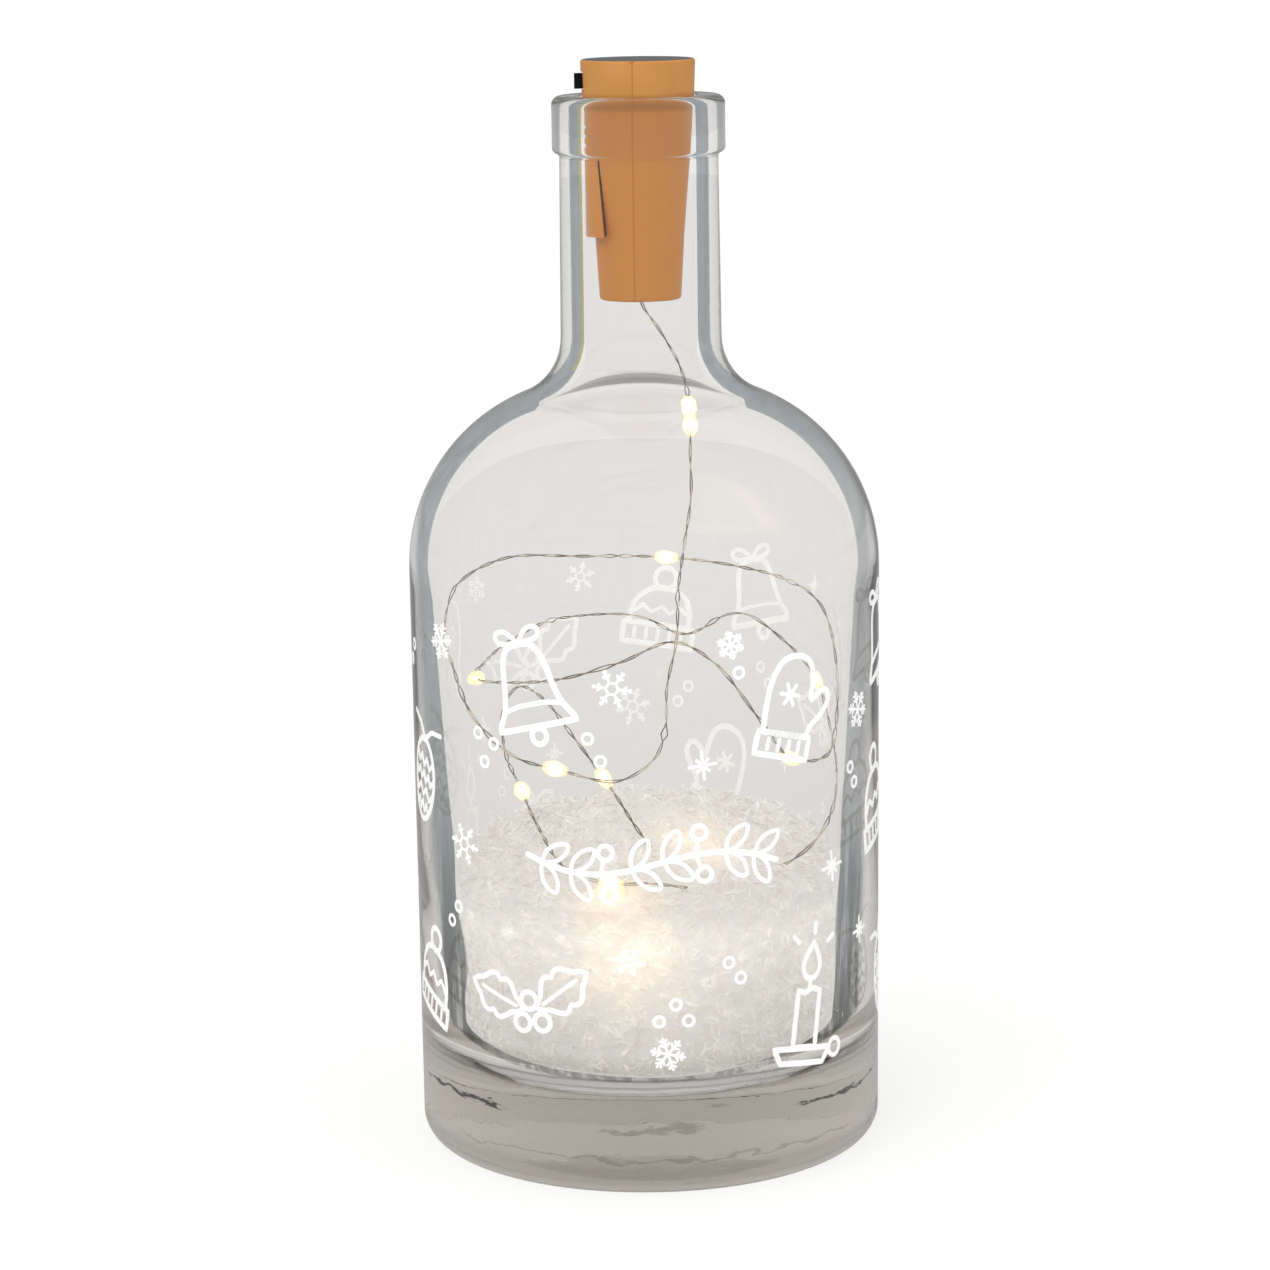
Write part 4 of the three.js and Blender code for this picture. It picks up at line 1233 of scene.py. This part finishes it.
# Each drawing, its place round the glass in degrees from the front, its height, tilt and scale
PRINT_LAYOUT = [
    (garland, 1, 61.5, -4, 0.9), (bell, -28, 90, 14, 0.98), (mitten, 36, 87, -14, 0.92),
    (holly, -30, 34, 10, 1.0), (candle, 41, 31, -8, 0.95), (cone, -71, 71, -12, 0.95),
    (hat, 76, 64, 10, 0.95), (hat, -68, 33, -14, 0.9), (mitten, -106, 88, 16, 0.9),
    (candle, -112, 52, 6, 0.95), (holly, -146, 80, -12, 1.0), (bell, 79, 93, 12, 0.9),
    (cone, 83, 31, 14, 0.9), (holly, 112, 72, -16, 0.95), (candle, 122, 38, 5, 0.9),
    (bell, 146, 92, -13, 0.95), (mitten, 158, 57, 14, 0.9), (cone, -166, 31, -10, 0.9),
    (hat, 176, 88, 8, 0.92), (bell, -142, 44, 12, 0.9),
]
SMALL_PRINT = [
    (-58, 98, 3.6), (-8, 93, 3.2), (13, 79, 3.3), (62, 84, 3.6), (-50, 62, 3.4), (50, 57, 3.6),
    (4, 27, 3.2), (-5, 44, 2.4), (63, 43, 3.2), (-88, 50, 3.4), (-92, 24, 3.0), (-124, 70, 3.2),
    (-130, 28, 3.4), (-176, 70, 3.4), (-152, 62, 2.6), (98, 48, 3.2), (102, 90, 3.4), (134, 62, 3.2),
    (138, 26, 3.2), (164, 36, 3.0), (124, 98, 2.8), (-126, 98, 3.2), (-162, 98, 2.8), (104, 22, 2.8),
    (20, 100, 2.6),
]
RING_PRINT = [
    (-42, 78), (-39, 81.5), (-44, 83), (6, 36), (9, 33), (2, 33), (19, 43), (22, 40), (58, 74), (60, 71),
    (-14, 84), (-11, 80), (-56, 47), (-53, 50), (-80, 92), (-77, 95), (96, 62), (99, 65), (142, 76),
    (145, 79), (168, 74), (171, 71), (-134, 60), (-131, 57), (-100, 36), (-98, 33), (110, 56), (-158, 46),
    (-155, 49), (22, 95),
]


def print_on_bottle():
    placed = []

    def put(strokes, degrees, z, tilt=0, scale=1.0, weight=1.0):
        for points, closes, width in strokes:
            points = [(scale * x, scale * y) for x, y in points]
            placed.append((spun(points, math.radians(tilt), math.radians(degrees) * BODY_RADIUS, z),
                           closes, width * weight))

    for drawing, degrees, z, tilt, scale in PRINT_LAYOUT:
        put(drawing(), degrees, z, tilt, scale * PRINT_SCALE, PRINT_WEIGHT)
    for n, (degrees, z, r) in enumerate(SMALL_PRINT):
        shape = (flake(r * 0.95, 0.5), crystal(r * 1.05, 0.48), star_burst(r * 0.75))[n % 3]
        put(shape, degrees, z, 13 * n % 40 - 20)
    for degrees, z in RING_PRINT:
        put([closed(ring(0, 0, 0.95, 14), 0.6)], degrees, z)
    belongs(print_strokes(placed), "bottle", "snow")


print_on_bottle()


# Snow

def snow_top(x, y):
    mound = MOUND_HEIGHT * math.exp(-(x ** 2 + (y - 2) ** 2) / MOUND_WIDTH ** 2)
    ripple = math.sin(2 * math.pi * x / RIPPLE_LENGTH) * math.cos(2 * math.pi * y / RIPPLE_LENGTH)
    return SNOW_HEIGHT + SNOW_TILT * y + mound + RIPPLE_HEIGHT * ripple


SNOW_FACETS = 150
SNOW_GAP = 0.7
SHRED_DEPTH = 1.2


def snow_body():
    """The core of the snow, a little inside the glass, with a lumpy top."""
    crown = FLOOR_THICKNESS + FLOOR_CROWN
    flat = BOWL_EDGE - BOWL_ROUND
    profile = [(flat * i / 10, crown + 0.2 - FLOOR_CROWN * (i / 10) ** 2) for i in range(11)]
    profile += arc(flat, BOWL_TOP, BOWL_ROUND - SNOW_GAP, -88, 0, 14)
    for z in np.linspace(BOWL_TOP, SNOW_HEIGHT - SNOW_RIM_DROP, 20)[1:]:
        profile.append((inner_radius(z) - SNOW_GAP, z))
    rim = profile[-1][0]
    profile += [(rim * math.sqrt(s), SNOW_HEIGHT) for s in np.linspace(0.985, 0, 34)]
    piece = turned("snow_bed", profile, SNOW_FACETS, SNOW_BODY)
    top_floor = (SNOW_HEIGHT - SNOW_RIM_DROP / 2) * MM
    side_height = SNOW_HEIGHT - SNOW_RIM_DROP - BOWL_TOP
    for v in piece.data.vertices:
        x, y, z = (c / MM for c in v.co)
        if v.co.z > top_floor:
            share = min(1.0, (rim - math.hypot(x, y)) / 3.0)
            z = snow_top(x, y) - SHRED_DEPTH - SNOW_RIM_DROP * (1 - share)
        elif z > BOWL_TOP:
            rim_level = snow_top(x, y) - SHRED_DEPTH - SNOW_RIM_DROP
            z = BOWL_TOP + (z - BOWL_TOP) * (rim_level - BOWL_TOP) / side_height
        lump = noise.fractal(Vector((x, y, z)) * 0.33, 0.9, 2.1, 4) * 0.75
        out = Vector((x, y, 0)).normalized() if math.hypot(x, y) > 1 else Vector((0, 0, 0))
        if z > SNOW_HEIGHT - 3:
            z += lump * 1.3
        else:
            reach = min(0.0, lump - 0.2)
            x, y = x + out.x * reach, y + out.y * reach
        v.co = Vector((x, y, z)) * MM
    piece.data.update()
    return piece


class Recipe(Graph):
    """A Geometry Nodes tree and its named inputs."""

    def __init__(self, name, inputs):
        self.tree = bpy.data.node_groups.new(name, "GeometryNodeTree")
        face = self.tree.interface
        face.new_socket("Geometry", in_out="INPUT", socket_type="NodeSocketGeometry")
        self.values = {}
        for key, value in inputs.items():
            kind = "NodeSocketInt" if isinstance(value, int) else "NodeSocketFloat"
            self.values[face.new_socket(key, in_out="INPUT", socket_type=kind).identifier] = value
        face.new_socket("Geometry", in_out="OUTPUT", socket_type="NodeSocketGeometry")
        self.start = self.tree.nodes.new("NodeGroupInput")
        self.end = self.tree.nodes.new("NodeGroupOutput")

    def given(self, name):
        return Value(self, self.start.outputs[name])

    def use_on(self, piece, geometry):
        self.tree.links.new(geometry.socket, self.end.inputs[0])
        modifier = piece.modifiers.new("recipe", "NODES")
        modifier.node_group = self.tree
        for identifier, value in self.values.items():
            modifier[identifier] = value
        return settle(piece)


def scattered(name, bed, shred, **inputs):
    """Shreds strewn over the snow bed. shred(recipe) gives the one that is repeated."""
    recipe = Recipe(name, inputs)
    node, given = recipe.node, recipe.given
    strewn = node("GeometryNodeDistributePointsOnFaces", None, {
        "Mesh": given("Geometry"), "Density": given("Density"), "Seed": given("Seed")})
    upright = Value(recipe, strewn.socket.node.outputs["Rotation"])
    spin = node("FunctionNodeRandomValue", {"data_type": "FLOAT_VECTOR"},
                {0: (-0.55, -0.55, -3.14), 1: (0.55, 0.55, 3.14), "Seed": 5})
    lean = node("FunctionNodeRotateEuler", {"space": "LOCAL"}, {"Rotation": upright, "Rotate By": spin})
    size = node("FunctionNodeRandomValue", {"data_type": "FLOAT"},
                {2: given("Smallest"), 3: given("Largest"), "Seed": 9}, output=1)
    placed = node("GeometryNodeInstanceOnPoints", None, {
        "Points": strewn, "Instance": shred(recipe), "Rotation": lean, "Scale": size})
    real = node("GeometryNodeRealizeInstances", None, {"Geometry": placed})
    crumple = node("ShaderNodeTexNoise", None, {"Scale": given("Crumple"), "Detail": 1.0}, output=1)
    centred = recipe.vector("SUBTRACT", crumple, (0.5, 0.5, 0.5))
    by = node("ShaderNodeVectorMath", {"operation": "SCALE"}, {0: centred, "Scale": given("Bend")})
    bent = node("GeometryNodeSetPosition", None, {"Geometry": real, "Offset": by})
    done = node("GeometryNodeSetMaterial", None, {"Geometry": bent, "Material": SNOW_FLAKE})
    return recipe.use_on(added(name, bed.data.copy()), done)


def ribbon(recipe):
    return recipe.node("GeometryNodeMeshCube", None, {
        "Size": (3.0 * MM, 0.46 * MM, 0.08 * MM), "Vertices X": 3, "Vertices Y": 2, "Vertices Z": 2})


def fibre(recipe):
    rod = recipe.node("GeometryNodeMeshCylinder", {"fill_type": "NGON"}, {
        "Vertices": 3, "Side Segments": 6, "Radius": 0.085 * MM, "Depth": 5.2 * MM})
    return recipe.node("GeometryNodeTransform", None, {"Geometry": rod, "Rotation": (0, 1.25, 0)})


def kept_inside(piece, seed):
    """Presses what would stand in the glass back against its inner wall."""
    chance = np.random.default_rng(seed)
    count = len(piece.data.vertices)
    co = np.empty(count * 3)
    piece.data.vertices.foreach_get("co", co)
    co = co.reshape(-1, 3) / MM
    co[:, 2] = np.maximum(co[:, 2], FLOOR_THICKNESS + FLOOR_CROWN + 0.1 + 0.15 * chance.random(count))
    limit = np.array([inner_radius(z) for z in co[:, 2]]) - 0.2 - 0.22 * chance.random(count)
    reach = np.hypot(co[:, 0], co[:, 1])
    share = np.minimum(1, limit / np.maximum(reach, 1e-6))
    co[:, :2] *= share[:, None]
    piece.data.vertices.foreach_set("co", (co * MM).ravel())
    piece.data.update()
    return piece


def make_snow():
    bed = snow_body()
    shreds = scattered("snow_shreds", bed, ribbon, Density=5.2e5, Smallest=0.4, Largest=1.4,
                       Crumple=380.0, Bend=1.9 * MM, Seed=3)
    fibres = scattered("snow_fibres", bed, fibre, Density=2.6e5, Smallest=0.5, Largest=1.25,
                       Crumple=240.0, Bend=3.6 * MM, Seed=11)
    belongs(bed, "bottle", "snow", "snow_fill")
    for piece, seed in ((shreds, 4), (fibres, 8)):
        belongs(kept_inside(piece, seed), "bottle", "snow")


make_snow()


# Stopper

def stopper_solid(name):
    profile = [
        (0, STOPPER_FOOT),
        *arc(PLUG_FOOT_RADIUS - STOPPER_ROUND, STOPPER_FOOT + STOPPER_ROUND, STOPPER_ROUND, -90, 0, 5),
        (PLUG_COVER_RADIUS, COVER_FOOT),
        (SEAT_RADIUS, BOTTLE_HEIGHT),
        *arc(HEAD_RADIUS - STOPPER_ROUND, STOPPER_TOP - STOPPER_ROUND, STOPPER_ROUND, 0, 90, 5),
        (0, STOPPER_TOP),
    ]
    return turned(name, profile, STOPPER_FACETS, CORK)


def along_cover(at_foot, at_top, z):
    """A size of the cover's outline at a height, from its value at the foot and at the top."""
    return at_foot + (at_top - at_foot) * (z - COVER_FOOT) / COVER_LENGTH


def keystone(grow, foot, top):
    """The cover's outline as a wedge that narrows upward and widens inward."""
    points = []
    for outer in (True, False):
        for z in (foot, top):
            x = -COVER_RADIUS - 1 if outer else along_cover(COVER_RAIL_FOOT_X, COVER_RAIL_TOP_X, z) + grow
            half = along_cover(COVER_FOOT_HALF, COVER_TOP_HALF, z) + grow
            half += COVER_UNDERCUT * (x - COVER_EDGE_X)
            points += [(x, -half, z), (x, half, z)]
    faces = [(0, 1, 3, 2), (4, 6, 7, 5), (0, 4, 5, 1), (2, 3, 7, 6), (0, 2, 6, 4), (1, 5, 7, 3)]
    return face_outwards(new_piece("keystone", points, faces, smooth=False))


def stopper_half(name, x0, x1):
    knob_half = (KNOB_WIDTH + KNOB_TRAVEL) / 2 + FIT
    knob_rise = KNOB_HEIGHT / 2 + FIT
    tab_x, tab_y = TAB_SLOT_HALF
    wide, narrow, deep = SEAM_NOTCH
    notch_floor = STOPPER_TOP - deep
    piece = stopper_solid(name)
    cut(piece, [block("side", x0, x1, -25, 25, 140, 210)], "INTERSECT")
    cutters = [
        drum("bay", BAY_RADIUS, BAY_FLOOR, BAY_TOP, 96, BAY_X),
        block("cell_way", BAY_X - CELL_WAY_REACH, BAY_X, -CELL_WAY_HALF, CELL_WAY_HALF,
              BAY_FLOOR, CELL_WAY_TOP),
        keystone(FIT, BAY_FLOOR, COVER_TOP + FIT),
        block("head", HOUSING_FACE_X - FIT, BOARD_END_X + FIT, -POCKET_HALF, POCKET_HALF,
              POCKET_FLOOR, POCKET_TOP),
        block("knob_slot", -HEAD_RADIUS - 1, HOUSING_FACE_X, -knob_half, knob_half,
              SWITCH_Z - knob_rise, SWITCH_Z + knob_rise),
        block("tab_slot", TAB_X - tab_x, TAB_X + tab_x, -tab_y, tab_y, BAY_TOP - 1, POCKET_FLOOR + 1),
        drum("wiring", WIRING_RADIUS, WIRING_FOOT, WIRING_TOP, 32),
        drum("exit", EXIT_RADIUS, STOPPER_FOOT - 1, WIRING_FOOT + 1, 32),
        drum("seal", SEAL_RADIUS, STOPPER_FOOT - 1, SEAL_TOP + FIT, 32),
        block("front_notch", SEAM_X - wide, SEAM_X + narrow, -11, -9.75, notch_floor, STOPPER_TOP + 1),
        block("back_notch", SEAM_X - narrow, SEAM_X + wide, 9.75, 11, notch_floor, STOPPER_TOP + 1),
    ]
    cut(piece, cutters)
    face_outwards(piece)
    return soften(piece, SHELL_EDGE)


for side, x0, x1 in (("left", -20, SEAM_X - SEAM_GAP / 2), ("right", SEAM_X + SEAM_GAP / 2, 20)):
    belongs(stopper_half(f"stopper_{side}", x0, x1), "stopper", "cork", f"stopper_shell_{side}")


GRIP_HALVES = (0.35, 0.1)
GRIP_COUNT = 3
GRIP_DEPTH = 0.28
GRIP_DROP = 3.2
GRIP_PITCH = 1.5


def battery_cover():
    """The curved panel that slides down out of its slot, with three grip ribs near its top."""
    inner, foot, top = COVER_RADIUS - COVER_THICKNESS, COVER_FOOT, COVER_TOP
    groove_floor = COVER_RADIUS - GRIP_DEPTH
    wide, narrow = GRIP_HALVES
    profile = [(inner, foot), (COVER_RADIUS, foot)]
    for n in reversed(range(GRIP_COUNT)):
        z = top - GRIP_DROP - GRIP_PITCH * n
        profile += [(COVER_RADIUS, z - wide), (groove_floor, z - narrow), (groove_floor, z + narrow),
                    (COVER_RADIUS, z + wide)]
    profile += [(COVER_RADIUS, top), (inner, top)]
    piece = turned("battery_cover_panel", profile, STOPPER_FACETS, CORK, ring=True)
    cut(piece, [keystone(0, foot, top)], "INTERSECT")
    face_outwards(piece)
    soften(piece, COVER_EDGE)
    belongs(piece, "cover", "cork", "battery_cover")


battery_cover()


def switch_knob():
    """The slide switch's knob, with rounded edges and two finger grooves."""
    inner = HOUSING_FACE_X - FIT
    outer_x = -HEAD_RADIUS - KNOB_PROUD
    half, rise = KNOB_WIDTH / 2, KNOB_HEIGHT / 2
    head = block("knob", outer_x, inner, -half, half, SWITCH_Z - rise, SWITCH_Z + rise, BLACK)
    foot = block("knob_foot", inner - 0.5, HOUSING_FACE_X + GROOVE_DEPTH - FIT, -half + FIT, half - FIT,
                 SWITCH_Z - GROOVE_HEIGHT / 2 + FIT, SWITCH_Z + GROOVE_HEIGHT / 2 - FIT)
    cut(head, [foot], "UNION")
    grooves = [block("groove", outer_x - 1, outer_x + 0.22, y - 0.16, y + 0.16, SWITCH_Z - 2, SWITCH_Z + 2)
               for y in (-0.45, 0.45)]
    cut(head, grooves)
    face_outwards(head)
    soften(head, KNOB_EDGE, 3)
    head.data.transform(Matrix.Translation((0, -KNOB_TRAVEL / 2 * MM, 0)))
    belongs(head, "switch", "black", "switch_knob")


switch_knob()


# CAD nodes that stay, with finer finishes

KEPT = (
    (STEEL, ("battery_cell_1", "battery_cell_2", "battery_cell_3", "contact_spring", "contact_plate",
             "switch_housing", "switch_terminal_1", "switch_terminal_2", "switch_terminal_3")),
    (BOARD, ("circuit_board",)), (RESISTOR, ("resistor",)), (WIRE, ("inner_wire",)), (GLUE, ("wire_seal",)),
)
for finish, nodes in KEPT:
    for node in nodes:
        NODES[node].data.materials.clear()
        NODES[node].data.materials.append(finish)


# Studio

# What the camera, glass and metal see of the white studio, and what it gives as light
SEEN_BY_CAMERA = 1.0
SEEN_THROUGH = 1.0
SEEN_IN_GLOSS = 0.36
STUDIO_LIGHT = 0.66
STUDIO_WHITE = (1, 0.995, 0.99)
FLOOR_REACH = 6000
FLOOR_DROP = 0.05


def by_ray(f, camera, gloss, through, other):
    """One look for what the camera sees, one for reflections, one for what glass shows, one for light."""
    look = f.mix(f.ray("Is Glossy Ray"), other, gloss)
    look = f.mix(f.ray("Is Transmission Ray"), look, through)
    return f.mix(f.ray("Is Camera Ray"), look, camera)


def studio_floor():
    f = Finish("pale studio floor")

    def diffuse(tone):
        return f.node("ShaderNodeBsdfDiffuse", values={"Color": grey(tone)})

    def lit(tone, strength):
        glow = f.node("ShaderNodeEmission", values={"Color": STUDIO_WHITE, "Strength": strength})
        return f.node("ShaderNodeAddShader", values={0: diffuse(tone), 1: glow})

    look = by_ray(f, lit(0.42, 0.62), lit(0.3, 0.2), lit(0.12, 0.78), diffuse(0.8))
    sides = ((-1, -1), (1, -1), (1, 1), (-1, 1))
    corners = [(x * FLOOR_REACH, y * FLOOR_REACH, -FLOOR_DROP) for x, y in sides]
    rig.stage(new_piece("studio_floor", corners, [(0, 1, 2, 3)], f.show(look)))


def studio_world():
    f = Finish("studio", bpy.data.worlds)

    def glow(strength, colour=STUDIO_WHITE):
        return f.node("ShaderNodeBackground", values={"Color": colour, "Strength": strength})

    look = by_ray(f, glow(SEEN_BY_CAMERA, WHITEST), glow(SEEN_IN_GLOSS), glow(SEEN_THROUGH),
                  glow(STUDIO_LIGHT))
    bpy.context.scene.world = f.show(look, "ShaderNodeOutputWorld")


def lamp(name, kind, place, target, energy, **settings):
    data = bpy.data.lights.new(name, kind)
    data.energy = energy
    for key, value in settings.items():
        setattr(data, key, value)
    light = added(name, data)
    light.visible_glossy = light.visible_transmission = False
    way = Vector(target) - Vector(place)
    light.matrix_world = Matrix.Translation(place) @ way.to_track_quat("-Z", "Y").to_matrix().to_4x4()


studio_floor()
studio_world()
lamp("key", "SUN", (-0.6, -0.9, 1.3), (0, 0, 0.08), 1.15, angle=math.radians(50))
lamp("fill", "SUN", (0.9, -0.7, 0.6), (0, 0, 0.08), 0.45, angle=math.radians(60))

scene = bpy.context.scene
scene.view_settings.view_transform = "Standard"
scene.cycles.max_bounces = 24
scene.cycles.transmission_bounces = 20
scene.cycles.transparent_max_bounces = 24
scene.cycles.glossy_bounces = 12

with open("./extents.json", "w") as out:
    boxes = {"cad": cad_box, "visual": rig.bounds()}
    json.dump({key: [[float(v) for v in corner] for corner in value] for key, value in boxes.items()}, out)
